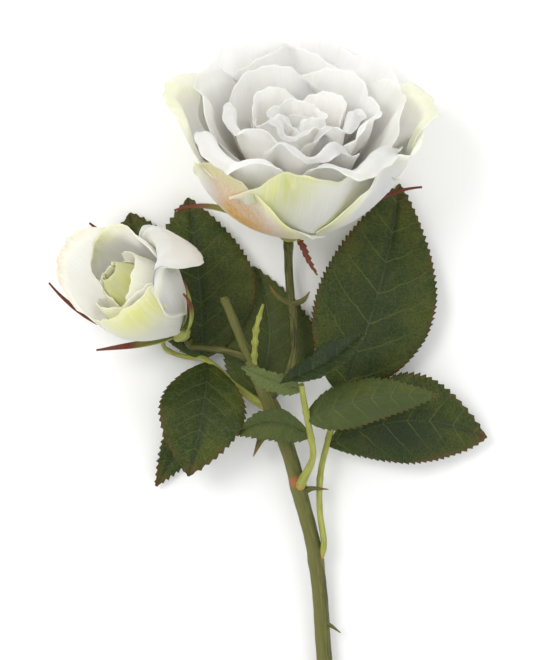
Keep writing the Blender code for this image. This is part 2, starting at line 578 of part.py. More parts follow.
def build_rose():
    petal = material("petal", (0.93, 0.91, 0.84), 0.6)
    bud_petal = material("bud_petal", (0.88, 0.88, 0.62), 0.6)
    leaf = material("leaf", (0.045, 0.085, 0.028), 0.55)
    bark = material("bark", (0.13, 0.16, 0.07), 0.6)
    green = material("young_green", (0.36, 0.42, 0.08), 0.55)
    sepal = material("sepal", (0.2, 0.16, 0.05), 0.6)

    rose = new_empty("rose")
    stem = tube("main_stem", MAIN_STEM, bark, rose, sides=10)
    for number, thorn in enumerate(THORNS, 1):
        combine(stem, tube(f"thorn_{number}", thorn, bark, rose, sides=6), "UNION")

    branches = {}
    for name, path, finish in (("bloom_stalk", BLOOM_STALK, bark), ("bud_stalk", BUD_STALK, bark),
                               ("young_shoot", YOUNG_SHOOT, green), ("right_leafstalk", RIGHT_RACHIS, green),
                               ("front_leafstalk", FRONT_RACHIS, green), ("left_leafstalk", LEFT_RACHIS, green)):
        branches[name] = tube(name, path, finish, rose)
        combine(branches[name], tube(f"{name}_clearance", MAIN_STEM, bark, rose, sides=10, grow=GAP), "DIFFERENCE")

    for side, path in (("right", RIGHT_RACHIS), ("front", FRONT_RACHIS), ("left", LEFT_RACHIS)):
        clearance = tube(f"{side}_leaf_clearance", path, green, rose, grow=GAP)
        for blade in LEAVES[side]:
            combine(leaf_object(blade, leaf, rose), clearance, "DIFFERENCE")

    lean = math.tan(math.radians(BLOOM_LEAN))
    pitch = math.radians(BLOOM_PITCH)
    bloom_frame = axis_frame(BLOOM_BASE, (lean, math.cos(pitch), math.sin(pitch)), (1.0, 0.0, 0.0))
    bud_frame = axis_frame(BUD_BASE, BUD_AXIS, (1.0, 0.3, 0.0))
    profile = [(1.9, -13.5), (4.6, -12.0), (6.4, -10.6), (9.7, -9.2), (9.7, -9.7 * SLOPE), (0.6, -0.6 * SLOPE)]
    hip = receptacle("bloom_calyx", profile, bloom_frame, sepal, rose)
    build_flower(BLOOM, BLOOM_SEPALS, hip, bloom_frame, petal, rose)
    profile = [(1.5, -8.5), (3.2, -7.4), (4.4, -6.4), (5.8, -5.6), (5.8, -5.8 * SLOPE), (0.5, -0.5 * SLOPE)]
    hip = receptacle("bud_calyx", profile, bud_frame, sepal, rose)
    build_flower(BUD, BUD_SEPALS, hip, bud_frame, bud_petal, rose)
    return rose


def settle(rose):
    """Moves the rose so that the origin is the middle of its footprint, on the surface it lies on."""
    graph = bpy.context.evaluated_depsgraph_get()
    corners = []
    for item in bpy.data.objects:
        if item.type == "MESH" and not item.hide_render:
            mesh = item.evaluated_get(graph).to_mesh()
            corners += [item.matrix_world @ v.co for v in mesh.vertices]
    low = Vector([min(p[k] for p in corners) for k in range(3)])
    high = Vector([max(p[k] for p in corners) for k in range(3)])
    rose.location = (-(low.x + high.x) / 2, -(low.y + high.y) / 2, -low.z)


clear_scene()
settle(build_rose())
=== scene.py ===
"""Looks of the cut rose: petals, leaves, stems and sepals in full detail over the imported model.

Lengths are in millimetres until a mesh is made. Plant coordinates have X across the rose, Y along
its stem towards the bloom, Z up from the surface it lies on, and their origin under the joint of
bloom and stalk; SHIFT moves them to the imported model's origin.
"""

import math

import bpy
import numpy as np
from mathutils import Matrix, Vector
from mathutils.bvhtree import BVHTree


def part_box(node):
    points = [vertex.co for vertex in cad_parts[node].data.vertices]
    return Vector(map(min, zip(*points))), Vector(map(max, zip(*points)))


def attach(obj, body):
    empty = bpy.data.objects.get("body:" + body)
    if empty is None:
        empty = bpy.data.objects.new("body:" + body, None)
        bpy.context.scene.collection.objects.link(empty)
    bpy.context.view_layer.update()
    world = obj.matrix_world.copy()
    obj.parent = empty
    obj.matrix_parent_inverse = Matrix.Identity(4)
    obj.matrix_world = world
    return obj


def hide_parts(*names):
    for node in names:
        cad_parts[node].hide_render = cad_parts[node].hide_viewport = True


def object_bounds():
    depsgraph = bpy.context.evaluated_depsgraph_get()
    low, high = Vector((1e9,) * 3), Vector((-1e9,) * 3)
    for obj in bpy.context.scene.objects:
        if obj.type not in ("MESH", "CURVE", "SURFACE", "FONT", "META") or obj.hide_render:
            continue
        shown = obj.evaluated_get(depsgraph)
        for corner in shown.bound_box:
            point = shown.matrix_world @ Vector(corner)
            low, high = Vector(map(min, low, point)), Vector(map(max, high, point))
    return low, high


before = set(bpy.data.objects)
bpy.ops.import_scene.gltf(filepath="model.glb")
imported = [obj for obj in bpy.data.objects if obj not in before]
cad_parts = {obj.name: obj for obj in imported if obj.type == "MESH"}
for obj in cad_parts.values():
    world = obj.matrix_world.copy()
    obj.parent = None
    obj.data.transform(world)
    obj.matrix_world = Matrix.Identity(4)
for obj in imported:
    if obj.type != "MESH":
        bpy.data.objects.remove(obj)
cad_low, cad_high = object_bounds()

MM = 0.001


def smooth(low, high, x):
    """0 at low, 1 at high and smooth between; low may be the larger of the two."""
    t = np.clip((np.asarray(x, float) - low) / (high - low), 0.0, 1.0)
    return t * t * (3 - 2 * t)


def bezier(points, t):
    """The point at share t of the curve that starts at the first point and bends towards the others."""
    weights = ((1 - t) ** 3, 3 * t * (1 - t) ** 2, 3 * t * t * (1 - t), t**3)
    return sum((Vector(p) * w for p, w in zip(points, weights)), Vector((0.0, 0.0, 0.0)))


def spline(a, b, c, d, t):
    """The point at share t between b and c on a smooth line through the four."""
    return 0.5 * (2 * b + (c - a) * t + (2 * a - 5 * b + 4 * c - d) * t * t + (3 * b - a - 3 * c + d) * t**3)


def smooth_path(points, per_span):
    """A smooth line through the points, which hold a radius as fourth number."""
    rows = [np.array(p, float) for p in points]
    rows = [2 * rows[0] - rows[1], *rows, 2 * rows[-1] - rows[-2]]
    made = []
    for span in zip(rows, rows[1:], rows[2:], rows[3:]):
        made += [spline(*span, k / per_span) for k in range(per_span)]
    return np.array([*made, rows[-2]])


# ---- shapes


class Shape:
    """Points, faces and, for each point, a flat place (uv), four tones and four wear-and-shade numbers (worn
    colour and painted shade); shapes add up.
    """

    def __init__(self):
        self.points, self.faces, self.uv, self.tone, self.wear_and_shade = [], [], [], [], []
        self.count = 0

    def add(self, points, faces, uv, tone, wear_and_shade=None):
        if wear_and_shade is None:
            wear_and_shade = np.zeros((len(points), 4))
        for store, values in ((self.points, points), (self.uv, uv), (self.tone, tone), (self.wear_and_shade, wear_and_shade)):
            store.append(np.asarray(values, float))
        self.faces += [tuple(k + self.count for k in face) for face in faces]
        self.count += len(points)

    def moved(self, matrix):
        turn = np.array(matrix.to_3x3())
        self.points = [p @ turn.T + np.array(matrix.translation) for p in self.points]
        return self


def grid_faces(rows, columns):
    corners = [i * columns + j for i in range(rows - 1) for j in range(columns - 1)]
    return [(a, a + 1, a + columns + 1, a + columns) for a in corners]


def ring_faces(rings, sides):
    pairs = [(i * sides + k, i * sides + (k + 1) % sides) for i in range(rings - 1) for k in range(sides)]
    return [(a, b, b + sides, a + sides) for a, b in pairs]


def unit(vectors):
    return vectors / np.maximum(np.linalg.norm(vectors, axis=2, keepdims=True), 1e-9)


def normals_of(grid):
    return unit(np.cross(np.gradient(grid, axis=0), np.gradient(grid, axis=1)))


def refine(grid, times):
    """The grid's smooth surface with this many steps for each of its own."""
    for axis in (0, 1):
        g = np.moveaxis(grid, axis, 0)
        p = np.concatenate([(2 * g[0] - g[1])[None], g, (2 * g[-1] - g[-2])[None]])
        steps = [spline(p[:-3], p[1:-2], p[2:-1], p[3:], k / times) for k in range(times)]
        fine = np.stack(steps, 1).reshape((-1, *g.shape[1:]))
        grid = np.moveaxis(np.concatenate([fine, g[-1:]]), 0, axis)
    return grid


def add_sheet(shape, grid, half, uv, tone, wear_and_shade=None):
    """A closed sheet about the grid, half as thick on each side as half says, point by point.

    The fourth tone is 0 on the side that the normals leave and 1 on the other.
    """
    rows, columns = grid.shape[:2]
    aside = normals_of(grid) * half[..., None]
    points = np.concatenate([(grid + aside).reshape(-1, 3), (grid - aside).reshape(-1, 3)])
    back = rows * columns
    faces = grid_faces(rows, columns)
    faces += [tuple(back + k for k in reversed(face)) for face in faces]
    rim = list(range(columns))
    rim += [i * columns + columns - 1 for i in range(1, rows)]
    rim += [(rows - 1) * columns + j for j in range(columns - 2, -1, -1)]
    rim += [i * columns for i in range(rows - 2, 0, -1)]
    faces += [(b, a, a + back, b + back) for a, b in zip(rim, rim[1:] + rim[:1])]
    uvs, tones = np.concatenate([uv.reshape(-1, 2)] * 2), np.concatenate([tone.reshape(-1, 4)] * 2)
    tones[:back, 3], tones[back:, 3] = 0.0, 1.0
    shape.add(points, faces, uvs, tones, None if wear_and_shade is None else np.concatenate([wear_and_shade.reshape(-1, 4)] * 2))


def linked(name, data):
    """A new object of the scene that shows data."""
    made = bpy.data.objects.new(name, data)
    bpy.context.scene.collection.objects.link(made)
    return made


def make(node, shape, material):
    """A smooth-shaded piece on the root body, from a shape in plant coordinates, in place of a CAD node."""
    name = f"{node}_look"
    mesh = bpy.data.meshes.new(name)
    points = (np.concatenate(shape.points) + SHIFT) * MM
    mesh.from_pydata(points.tolist(), [], shape.faces)
    mesh.materials.append(material)
    mesh.polygons.foreach_set("use_smooth", [True] * len(mesh.polygons))
    flat = mesh.uv_layers.new(name="flat")
    corners = np.zeros(len(mesh.loops), np.int32)
    mesh.loops.foreach_get("vertex_index", corners)
    flat.data.foreach_set("uv", np.concatenate(shape.uv)[corners].astype(np.float32).ravel())
    for layer, values in (("tone", shape.tone), ("wear_and_shade", shape.wear_and_shade)):
        colours = mesh.attributes.new(layer, "FLOAT_COLOR", "POINT")
        colours.data.foreach_set("color", np.concatenate(values).astype(np.float32).ravel())
    mesh.update()
    piece = linked(name, mesh)
    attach(piece, "root")
    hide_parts(node)


# ---- materials


class Finish:
    """A Principled material whose colour, roughness and bump come from nodes."""

    def __init__(self, name, **constants):
        self.material = bpy.data.materials.new(name)
        self.material.use_nodes = True
        self.tree = self.material.node_tree
        self.shader = self.tree.nodes["Principled BSDF"]
        for socket, value in constants.items():
            self.shader.inputs[socket.replace("_", " ")].default_value = value
        self.tone, self.wear_and_shade = self.numbers("tone"), self.numbers("wear_and_shade")
        self.flat = self.node("ShaderNodeUVMap", {}, uv_map="flat").outputs["UV"]
        self.place = self.node("ShaderNodeTexCoord", {}).outputs["Object"]

    def node(self, kind, sources, **settings):
        """A new node with these settings, and for some of its inputs a source."""
        made = self.tree.nodes.new(kind)
        for key, value in settings.items():
            setattr(made, key, value)
        for key, source in sources.items():
            self.join(source, made.inputs[key])
        return made

    def join(self, source, target):
        if isinstance(source, (int, float)):
            target.default_value = source
        elif isinstance(source, tuple):
            target.default_value = source if target.type == "VECTOR" else (*source, 1.0)
        else:
            self.tree.links.new(source, target)

    def numbers(self, layer):
        """The four numbers that the mesh holds in this layer."""
        made = self.node("ShaderNodeAttribute", {}, attribute_name=layer)
        parts = self.node("ShaderNodeSeparateColor", {0: made.outputs["Color"]})
        return [*parts.outputs[:3], made.outputs["Alpha"]]

    def noise(self, vector, scale, detail=3.0, roughness=0.55, distortion=0.0):
        sources = {"Vector": vector, "Scale": scale, "Detail": detail, "Roughness": roughness,
                   "Distortion": distortion}
        return self.node("ShaderNodeTexNoise", sources).outputs[0]

    def stretched(self, across, along, detail, roughness, distortion):
        """Noise on the flat place, with one scale across and another along the piece."""
        made = self.node("ShaderNodeMapping", {"Vector": self.flat, "Scale": (across, along, 1.0)})
        return self.noise(made.outputs[0], 1.0, detail, roughness, distortion)

    def cells(self, vector, scale):
        """Distance to the nearest edge between cells."""
        sources = {"Vector": vector, "Scale": scale}
        return self.node("ShaderNodeTexVoronoi", sources, feature="DISTANCE_TO_EDGE").outputs[0]

    def calc(self, operation, a, b):
        return self.node("ShaderNodeMath", {0: a, 1: b}, operation=operation).outputs[0]

    def times(self, a, b):
        return self.calc("MULTIPLY", a, b)

    def plus(self, a, b):
        return self.calc("ADD", a, b)

    def spread(self, value, low=0.3, high=0.7, to_low=0.0, to_high=1.0):
        """The value between low and high, taken smoothly to between the other two."""
        sources = {0: value, 1: low, 2: high, 3: to_low, 4: to_high}
        return self.node("ShaderNodeMapRange", sources, interpolation_type="SMOOTHSTEP").outputs[0]

    def mix(self, share, a, b, blend="MIX"):
        sources = {0: share, 6: a, 7: b}
        return self.node("ShaderNodeMix", sources, data_type="RGBA", blend_type=blend).outputs[2]

    def near_whole(self, value):
        """0 where the value is a whole number, rising to 1 halfway between two."""
        return self.times(self.calc("PINGPONG", value, 0.5), 2.0)

    def close(self, colour, roughness, height, depth, strength):
        """Joins all to the shader; height bumps it by up to depth millimetres."""
        bump = self.node("ShaderNodeBump", {"Strength": strength, "Distance": depth * MM, "Height": height})
        self.join(colour, self.shader.inputs["Base Color"])
        self.join(roughness, self.shader.inputs["Roughness"])
        self.join(bump.outputs[0], self.shader.inputs["Normal"])
        return self.material


def petal_finish(name, white, foot, green, peach):
    """Tones: 0 yellow-green, 1 peach, 2 share of its length from the foot, which fades the foot colour
    (painted warm shade of the deep cup) into white.
    """
    f = Finish(name, Subsurface_Weight=0.7, Subsurface_Scale=0.005, Subsurface_Radius=(1.0, 0.95, 0.85),
               Specular_IOR_Level=0.2)
    streaks = f.stretched(1.1, 0.05, 4, 0.6, 0.25)
    fine = f.stretched(4.5, 0.35, 2, 0.5, 0.4)
    cloud = f.noise(f.flat, 0.09, 2)
    weave = f.noise(f.flat, 5, 2)
    # Painted warm shade: warmer, darker cream towards the foot, deep in the cup
    colour = f.mix(f.spread(f.tone[2], 0.0, 0.95), foot, white)
    colour = f.mix(f.spread(streaks, 0.42, 0.75, 0.0, 0.3), colour, (0.9, 0.89, 0.84), "MULTIPLY")
    colour = f.mix(f.spread(cloud, 0.45, 0.75, 0.0, 0.25), colour, (0.95, 0.94, 0.88), "MULTIPLY")
    share = f.times(f.tone[0], f.spread(streaks, 0.2, 0.75, 0.75, 1.1))
    colour = f.mix(f.calc("MINIMUM", share, 1.0), colour, green)
    warped = f.stretched(0.55, 0.16, 4, 0.6, 1.2)
    veins = f.spread(f.near_whole(f.times(warped, 8.0)), 0.0, 0.3)
    peachy = f.mix(veins, (peach[0] * 0.8, peach[1] * 0.45, peach[2] * 0.3), peach)
    share = f.times(f.tone[1], f.spread(cloud, 0.2, 0.7, 0.8, 1.15))
    colour = f.mix(f.calc("MINIMUM", share, 1.0), colour, peachy)
    height = f.plus(f.times(streaks, 0.7), f.times(fine, 0.35))
    height = f.plus(height, f.times(weave, 0.12))
    height = f.plus(height, f.times(f.times(veins, f.tone[1]), 1.4))
    return f.close(colour, f.spread(fine, 0.2, 0.8, 0.5, 0.68), height, 0.35, 0.6)


LEAF_SHADE = (0.84, 0.82, 0.74)  # tones a whole leaf down
PHASE_SCALE = 16.0  # a leaf's count of side veins is stored as a share of this


def leaf_finish():
    """Tones: 0 count of side veins, 1 share of the way out from the midrib, 3 lower side.

    Wear and shade: 0 red-brown, 1 paleness, 2 painted shade.
    """
    f = Finish("leaf", Specular_IOR_Level=0.22)
    cloud = f.noise(f.flat, 0.1, 4, 0.6)
    count = f.plus(f.times(f.tone[0], PHASE_SCALE), f.times(f.noise(f.flat, 0.16, 2), 0.25))
    grain = f.noise(f.flat, 1.6, 4, 0.65)
    fibre = f.stretched(0.8, 3.5, 3, 0.6, 0.5)
    colour = f.mix(f.spread(cloud), (0.02, 0.042, 0.004), (0.08, 0.097, 0.006))
    colour = f.mix(f.spread(grain, 0.4, 0.65, 0.0, 0.8), colour, (0.012, 0.03, 0.004))
    colour = f.mix(f.spread(fibre, 0.48, 0.75, 0.0, 0.5), colour, (0.14, 0.17, 0.025))
    net = f.spread(f.cells(f.flat, 0.42), 0.0, 0.09, 1.0, 0.0)
    colour = f.mix(f.times(net, 0.16), colour, (0.16, 0.2, 0.07))
    # Painted shade: dark blue-green along the midrib's groove and in each leaf's patch of painted shade
    shade = f.times(f.spread(f.tone[1], 0.02, 0.3, 1.0, 0.0), f.spread(cloud, 0.35, 0.6, 0.25, 0.9))
    shade = f.calc("MAXIMUM", shade, f.times(f.wear_and_shade[2], f.spread(cloud, 0.3, 0.6, 0.4, 1.0)))
    colour = f.mix(f.times(shade, 0.7), colour, (0.006, 0.02, 0.012))
    far = f.spread(f.tone[1], 0.1, 0.95, 0.055, 0.02)
    veins = f.calc("SUBTRACT", 1.0, f.spread(f.calc("DIVIDE", f.near_whole(count), far), 0.0, 1.6))
    veins = f.times(veins, f.spread(f.tone[1], 0.75, 0.97, 1.0, 0.0))
    veins = f.times(veins, f.spread(grain, 0.3, 0.6, 0.35, 1.0))
    colour = f.mix(f.times(veins, 0.5), colour, (0.17, 0.21, 0.05))
    rib = f.spread(f.tone[1], 0.004, 0.03, 1.0, 0.0)
    colour = f.mix(f.times(rib, f.spread(cloud, 0.3, 0.7, 0.1, 0.6)), colour, (0.07, 0.11, 0.05))
    under = f.mix(f.spread(grain), (0.09, 0.13, 0.035), (0.17, 0.21, 0.075))
    lines = f.calc("MAXIMUM", veins, rib)
    under = f.mix(f.times(lines, 0.6), under, (0.26, 0.3, 0.12))
    colour = f.mix(f.calc("MAXIMUM", f.tone[3], f.wear_and_shade[1]), colour, under)
    red = f.times(f.wear_and_shade[0], f.spread(cloud, 0.35, 0.6, 0.15, 1.0))
    colour = f.mix(red, colour, f.mix(f.spread(grain), (0.09, 0.032, 0.014), (0.17, 0.075, 0.03)))
    colour = f.mix(1.0, colour, LEAF_SHADE, "MULTIPLY")
    height = f.plus(f.times(grain, 0.5), f.times(fibre, 0.3))
    height = f.calc("SUBTRACT", height, f.times(lines, 0.5))
    height = f.calc("SUBTRACT", height, f.times(net, 0.3))
    return f.close(colour, f.spread(grain, 0.2, 0.8, 0.42, 0.62), height, 0.3, 0.7)


def stem_finish(name, dark, light, specks, tip):
    """Tones: 0 orange scar, 1 share of the way to a pointed tip, 2 paleness (on the main stem a painted
    highlight along one side), 3 cut pith.
    """
    f = Finish(name, Specular_IOR_Level=0.25)
    streaks = f.stretched(1.6, 0.09, 4, 0.6, 0.3)
    cloud = f.noise(f.flat, 0.16, 3)
    spots = f.noise(f.flat, 1.9, 2)
    colour = f.mix(f.spread(streaks), dark, light)
    colour = f.mix(f.spread(cloud, 0.4, 0.75, 0.0, 0.55), colour, tuple(c * 0.55 for c in dark))
    colour = f.mix(f.spread(spots, 0.62, 0.8, 0.0, 0.5), colour, specks)
    # Paleness: on the main stem this is a painted highlight along one side
    colour = f.mix(f.times(f.tone[2], 0.8), colour, light)
    colour = f.mix(f.tone[1], colour, tip)
    scar = f.times(f.tone[0], f.spread(spots, 0.35, 0.6, 0.45, 1.0))
    colour = f.mix(scar, colour, (0.55, 0.13, 0.045))
    pith = f.mix(f.spread(spots), (0.42, 0.4, 0.2), (0.6, 0.58, 0.36))
    colour = f.mix(f.tone[3], colour, pith)
    height = f.plus(f.times(streaks, 0.6), f.times(spots, 0.4))
    return f.close(colour, f.spread(spots, 0.2, 0.8, 0.42, 0.62), height, 0.3, 0.6)


def sepal_finish():
    """Tones: 0 how far it has turned red-brown, 1 paleness."""
    f = Finish("sepal", Specular_IOR_Level=0.35)
    streaks = f.stretched(2.2, 0.15, 3, 0.6, 0.3)
    spots = f.noise(f.flat, 1.4, 3)
    colour = f.mix(f.spread(streaks), (0.2, 0.24, 0.045), (0.36, 0.4, 0.1))
    red = f.mix(f.spread(spots), (0.09, 0.014, 0.01), (0.2, 0.035, 0.022))
    share = f.times(f.tone[0], f.spread(spots, 0.25, 0.6, 0.7, 1.1))
    colour = f.mix(f.calc("MINIMUM", share, 1.0), colour, red)
    colour = f.mix(f.tone[1], colour, (0.45, 0.47, 0.16))
    return f.close(colour, f.spread(spots, 0.2, 0.8, 0.45, 0.65), streaks, 0.3, 0.6)


# ---- petals

SLOPE, FOOT = 0.9, 0.6  # fall of the cone that the petals stand on, and how far above it they start
NARROW = 0.62  # share of their ring's radius at which petals stand
LINE_STEPS, LIP_STEPS = 24, 10
ROWS = (0.0, 0.08, 0.17, 0.28, 0.4, 0.52, 0.64, 0.75, 0.85, 0.93, 1.0)  # shares of its length
MARGIN = 0.08  # how far past its own edge a petal holds the next one off
SPACING = 0.65  # between the middles of two petals that lie over each other
ROLLED = 60.0  # degrees from which a rolled lip no longer holds later petals off
MOST_WRAP = 2.2  # radians that a petal may reach about its circle on each side
FAR = 200.0  # farther out than any petal reaches
FINER = 4  # steps of the visible sheet for each step of the laid one
THICKNESS, EDGE_THICKNESS = 0.34, 0.12


class Petal:
    """One petal in its flower's frame, whose Z is the flower's axis.

    azimuth, ring          degrees about the axis and radius of the circle that it stands on
    belly, shoulder, rim   (radius, height) that its middle line bends towards; it ends at the rim
    lip       (length, turn): how far it goes on past the rim, and by how many degrees it rolls out
    cup       1 follows a circle about the axis, more is hollower, less is flatter
    ruffle    (height, waves, phase) of the broad waves in its edge
    corner    share of its length that it lacks at its two sides
    notch     share of its length that it lacks in the middle of its rim
    frill     height of the small waves in its edge
    tints     (kind, along, across, reach along, reach across, strength, side) of each tinted patch
    overhang  share of its length that hangs over and doesn't hold later petals off
    """

    columns = 13

    def __init__(self, name, azimuth, ring, belly, shoulder, rim, width, lip=(0, 0), cup=1.0,
                 ruffle=(0.0, 2.0, 0.0), corner=0.25, notch=0.0, frill=0.5, tints=(), overhang=0.0):
        self.name, self.azimuth, self.ring, self.width = name, azimuth, ring, width
        self.control = [(ring * NARROW, FOOT - SLOPE * ring), belly, shoulder, rim]
        self.lip, self.cup, self.ruffle, self.corner = lip, cup, ruffle, corner
        self.notch, self.frill, self.tints, self.overhang = notch, frill, tints, overhang
        self.line = self.middle_line()

    def middle_line(self):
        fine = [bezier([(*p, 0.0) for p in self.control], k / LINE_STEPS) for k in range(LINE_STEPS + 1)]
        length, turn = self.lip
        ahead = (fine[-1] - fine[-2]).normalized()
        for k in range(1, LIP_STEPS + 1):
            bend = -math.radians(turn) * k / LIP_STEPS
            way = Vector((ahead.x * math.cos(bend) - ahead.y * math.sin(bend),
                          ahead.x * math.sin(bend) + ahead.y * math.cos(bend), 0.0))
            fine.append(fine[-1] + way * (max(length, 0.01) / LIP_STEPS))
        reach = [0.0]
        for a, b in zip(fine, fine[1:]):
            reach.append(reach[-1] + (b - a).length)
        self.length = reach[-1]
        return list(zip(reach, fine))

    def on_line(self, share):
        """The point at this share of the middle line, or beyond its end, and the line's way there."""
        want = share * self.length
        for (low, a), (high, b) in zip(self.line, self.line[1:]):
            if want <= high or high == self.length:
                way = (b - a).normalized()
                return a + way * (want - low), way

    def acrosses(self):
        return [2 * j / (self.columns - 1) - 1 for j in range(self.columns)]

    def half_width(self, share):
        foot = min(0.28 * self.ring, 0.3 * self.width)
        swell = math.sin(min(1.0, share / 0.72) * math.pi / 2) ** 2.1
        return foot + (self.width / 2 - foot) * swell

    def point(self, along, across):
        side = min(abs(across), 1.2)
        reach = 1.0 - self.corner * side**2.6 - self.notch * math.exp(-((across / 0.2) ** 2))
        middle, way = self.on_line(along * reach)
        out = Vector((way.y, -way.x))
        high, waves, phase = self.ruffle
        lift = high * float(smooth(0.35, 1.0, along)) * math.sin(math.pi * (waves * across + phase))
        radius = max(middle.x / self.cup, 1.0)
        swing = max(-MOST_WRAP, min(MOST_WRAP, self.half_width(along) * across / radius))
        inward = radius * (1 - math.cos(swing))
        local = Vector((middle.x - inward + out.x * lift, radius * math.sin(swing), middle.y + out.y * lift))
        return Matrix.Rotation(math.radians(self.azimuth), 3, "Z") @ local


class Sepal(Petal):
    """A narrow pointed leaf of the calyx.

    line    four (radius, height): where its middle line starts, bends towards and ends
    sweep   degrees that its tip turns about the flower's axis
    red     share of it, from the tip, that has turned red-brown
    teeth   depth of the teeth in its edge
    """

    columns = 5

    def __init__(self, azimuth, line, width, sweep=0.0, red=0.5, teeth=0.0):
        super().__init__("sepal", azimuth, line[0][0], *line[1:], width, corner=0.0, frill=0.0)
        self.control[0] = line[0]
        self.line = self.middle_line()
        self.sweep, self.red, self.teeth = sweep, red, teeth

    def half_width(self, share):
        return max(0.5 * self.width * math.sin(math.pi * min(share, 1.0) ** 0.75) ** 0.8, 0.22)

    def point(self, along, across):
        turn = math.radians(self.sweep * max(along, 0.0) ** 2)
        return Matrix.Rotation(turn, 3, "Z") @ super().point(along, across)


def petal_grid(petal):
    acrosses = [-1 - MARGIN, *petal.acrosses(), 1 + MARGIN]
    return [[petal.point(a, c) for c in acrosses] for a in (*ROWS, 1 + MARGIN)]


def surface(grid, last_row):
    """What holds later petals off: the grid up to its last row, with 3 mm more below its foot."""
    rows = grid[:last_row]
    rows = [[p - Vector((0.0, 0.0, 3.0)) for p in rows[0]], *rows]
    return BVHTree.FromPolygons([p for row in rows for p in row], grid_faces(len(rows), len(rows[0])))


def outward(point):
    """The place on the flower's axis at the point's height, and the way from there to the point."""
    return Vector((0.0, 0.0, point.z)), Vector((point.x, point.y, 0.0)).normalized()


def needed_push(point, inner):
    """How far outward the point must move to clear the inner surfaces."""
    start, way = outward(point)
    need = 0.0
    for tree in inner:
        hit, normal, _, distance = tree.ray_cast(start + way * FAR, -way, FAR)
        if hit is not None:
            slant = max(abs(normal.dot(way)), 0.6)
            need = max(need, FAR - distance + SPACING / slant - point.xy.length)
    return need


def lay_over(grid, inner):
    """Moves the grid's points outward until they clear the surfaces inside them; its foot stays."""
    rows, columns = len(grid), len(grid[0])
    need = [[needed_push(grid[i][j], inner) if 0 < i < rows - 1 and 0 < j < columns - 1 else 0.0
             for j in range(columns)] for i in range(rows)]
    push = need
    for _ in range(2):
        spread = [row[:] for row in push]
        for i in range(1, rows - 1):
            for j in range(1, columns - 1):
                near = [push[a][b] for a, b in ((i - 1, j), (i + 1, j), (i, j - 1), (i, j + 1))
                        if 0 < a < rows - 1 and 0 < b < columns - 1]
                spread[i][j] = max(need[i][j], 0.4 * push[i][j] + 0.6 * sum(near) / len(near))
        push = spread
    for i in range(1, rows):
        for j in range(columns):
            amount = push[min(i, rows - 2)][min(max(j, 1), columns - 2)]
            grid[i][j] = grid[i][j] + outward(grid[i][j])[1] * amount


def lay_petals(petals):
    """The petals' sheets, from the inside out, each laid over the ones inside it."""
    sheets, inner = [], []
    for petal in petals:
        grid = petal_grid(petal)
        lay_over(grid, inner)
        hanging = petal.lip[0] / petal.length if petal.lip[1] > ROLLED else petal.overhang
        inner.append(surface(grid, round(len(ROWS) * (1 - hanging)) + 1 if hanging else None))
        sheets.append([row[1:-1] for row in grid[:-1]])
    return sheets


def fine_grid(petal, sheet):
    """(points, along, across) of the sheet on its fine grid."""
    places = [[(a, c) for c in petal.acrosses()] for a in ROWS]
    both = refine(np.concatenate([np.array(sheet, float), np.array(places, float)], axis=2), FINER)
    return both[..., :3], both[..., 3], both[..., 4]


def waves(x, seed, counts):
    """A fixed mix of sine waves along x, between about -1 and 1."""
    total = np.zeros_like(x)
    for k, count in enumerate(counts):
        total += np.sin(count * x + seed * (1.7 + k) + k) / (1.0 + 0.6 * k)
    return total / len(counts)


def petal_shape(petal, sheet, seed):
    points, along, across = fine_grid(petal, sheet)
    size = petal.width / 50.0
    side = np.abs(across)
    up, n = unit(np.gradient(points, axis=0)), normals_of(points)
    edge = np.maximum(smooth(0.72, 1.0, along), 0.6 * smooth(0.7, 1.0, side) * smooth(0.3, 0.75, along))
    frill = waves(across * 3.2, seed, (2.1, 3.7, 5.9, 9.1)) + 0.5 * waves(along * 9.0, seed + 2, (1.3, 2.1))
    points = points + n * (petal.frill * edge * frill * 2.0)[..., None]
    curl = smooth(0.86, 1.0, along) ** 2 + 0.5 * smooth(0.88, 1.0, side) ** 2 * smooth(0.3, 0.7, along)
    points = points - n * (0.9 * size * curl)[..., None]
    outline = waves(across * 4.0, seed + 5, (1.9, 4.3, 8.0))
    points = points + up * (1.6 * size * smooth(0.75, 1.0, along) * outline)[..., None]
    pleat = waves(across * 9.0, seed + 9, (1.0, 1.9))
    pleat += 0.8 * waves(across * 5.0 + along * 6.0, seed, (1.0, 2.3))
    points = points + n * (petal.frill * 0.5 * pleat * smooth(0.15, 0.6, along))[..., None]

    inset = np.minimum(1 - along, (1 - side) * 0.6)
    half = 0.5 * (EDGE_THICKNESS + (THICKNESS - EDGE_THICKNESS) * smooth(0.0, 0.12, inset))
    wide = np.array([petal.half_width(a) for a in along[:, 0]])[:, None]
    uv = np.stack([wide * across + 90 * seed, along * petal.length], axis=2)
    tone = np.zeros((*along.shape, 4))
    tone[..., 2] = along
    shape = Shape()
    add_sheet(shape, points, half, uv, tone)
    tones = shape.tone[0]
    sides = {"in": [tones[:along.size]], "out": [tones[along.size:]]}
    sides["both"] = sides["in"] + sides["out"]
    for kind, at, off, long, broad, strength, where in petal.tints:
        spot = np.exp(-(((along - at) / long) ** 2) - ((across - off) / broad) ** 2).ravel() * strength
        for rows in sides[where]:
            rows[:, ("green", "peach").index(kind)] += spot
    tones[:, :2] = np.clip(tones[:, :2], 0, 1)
    return shape


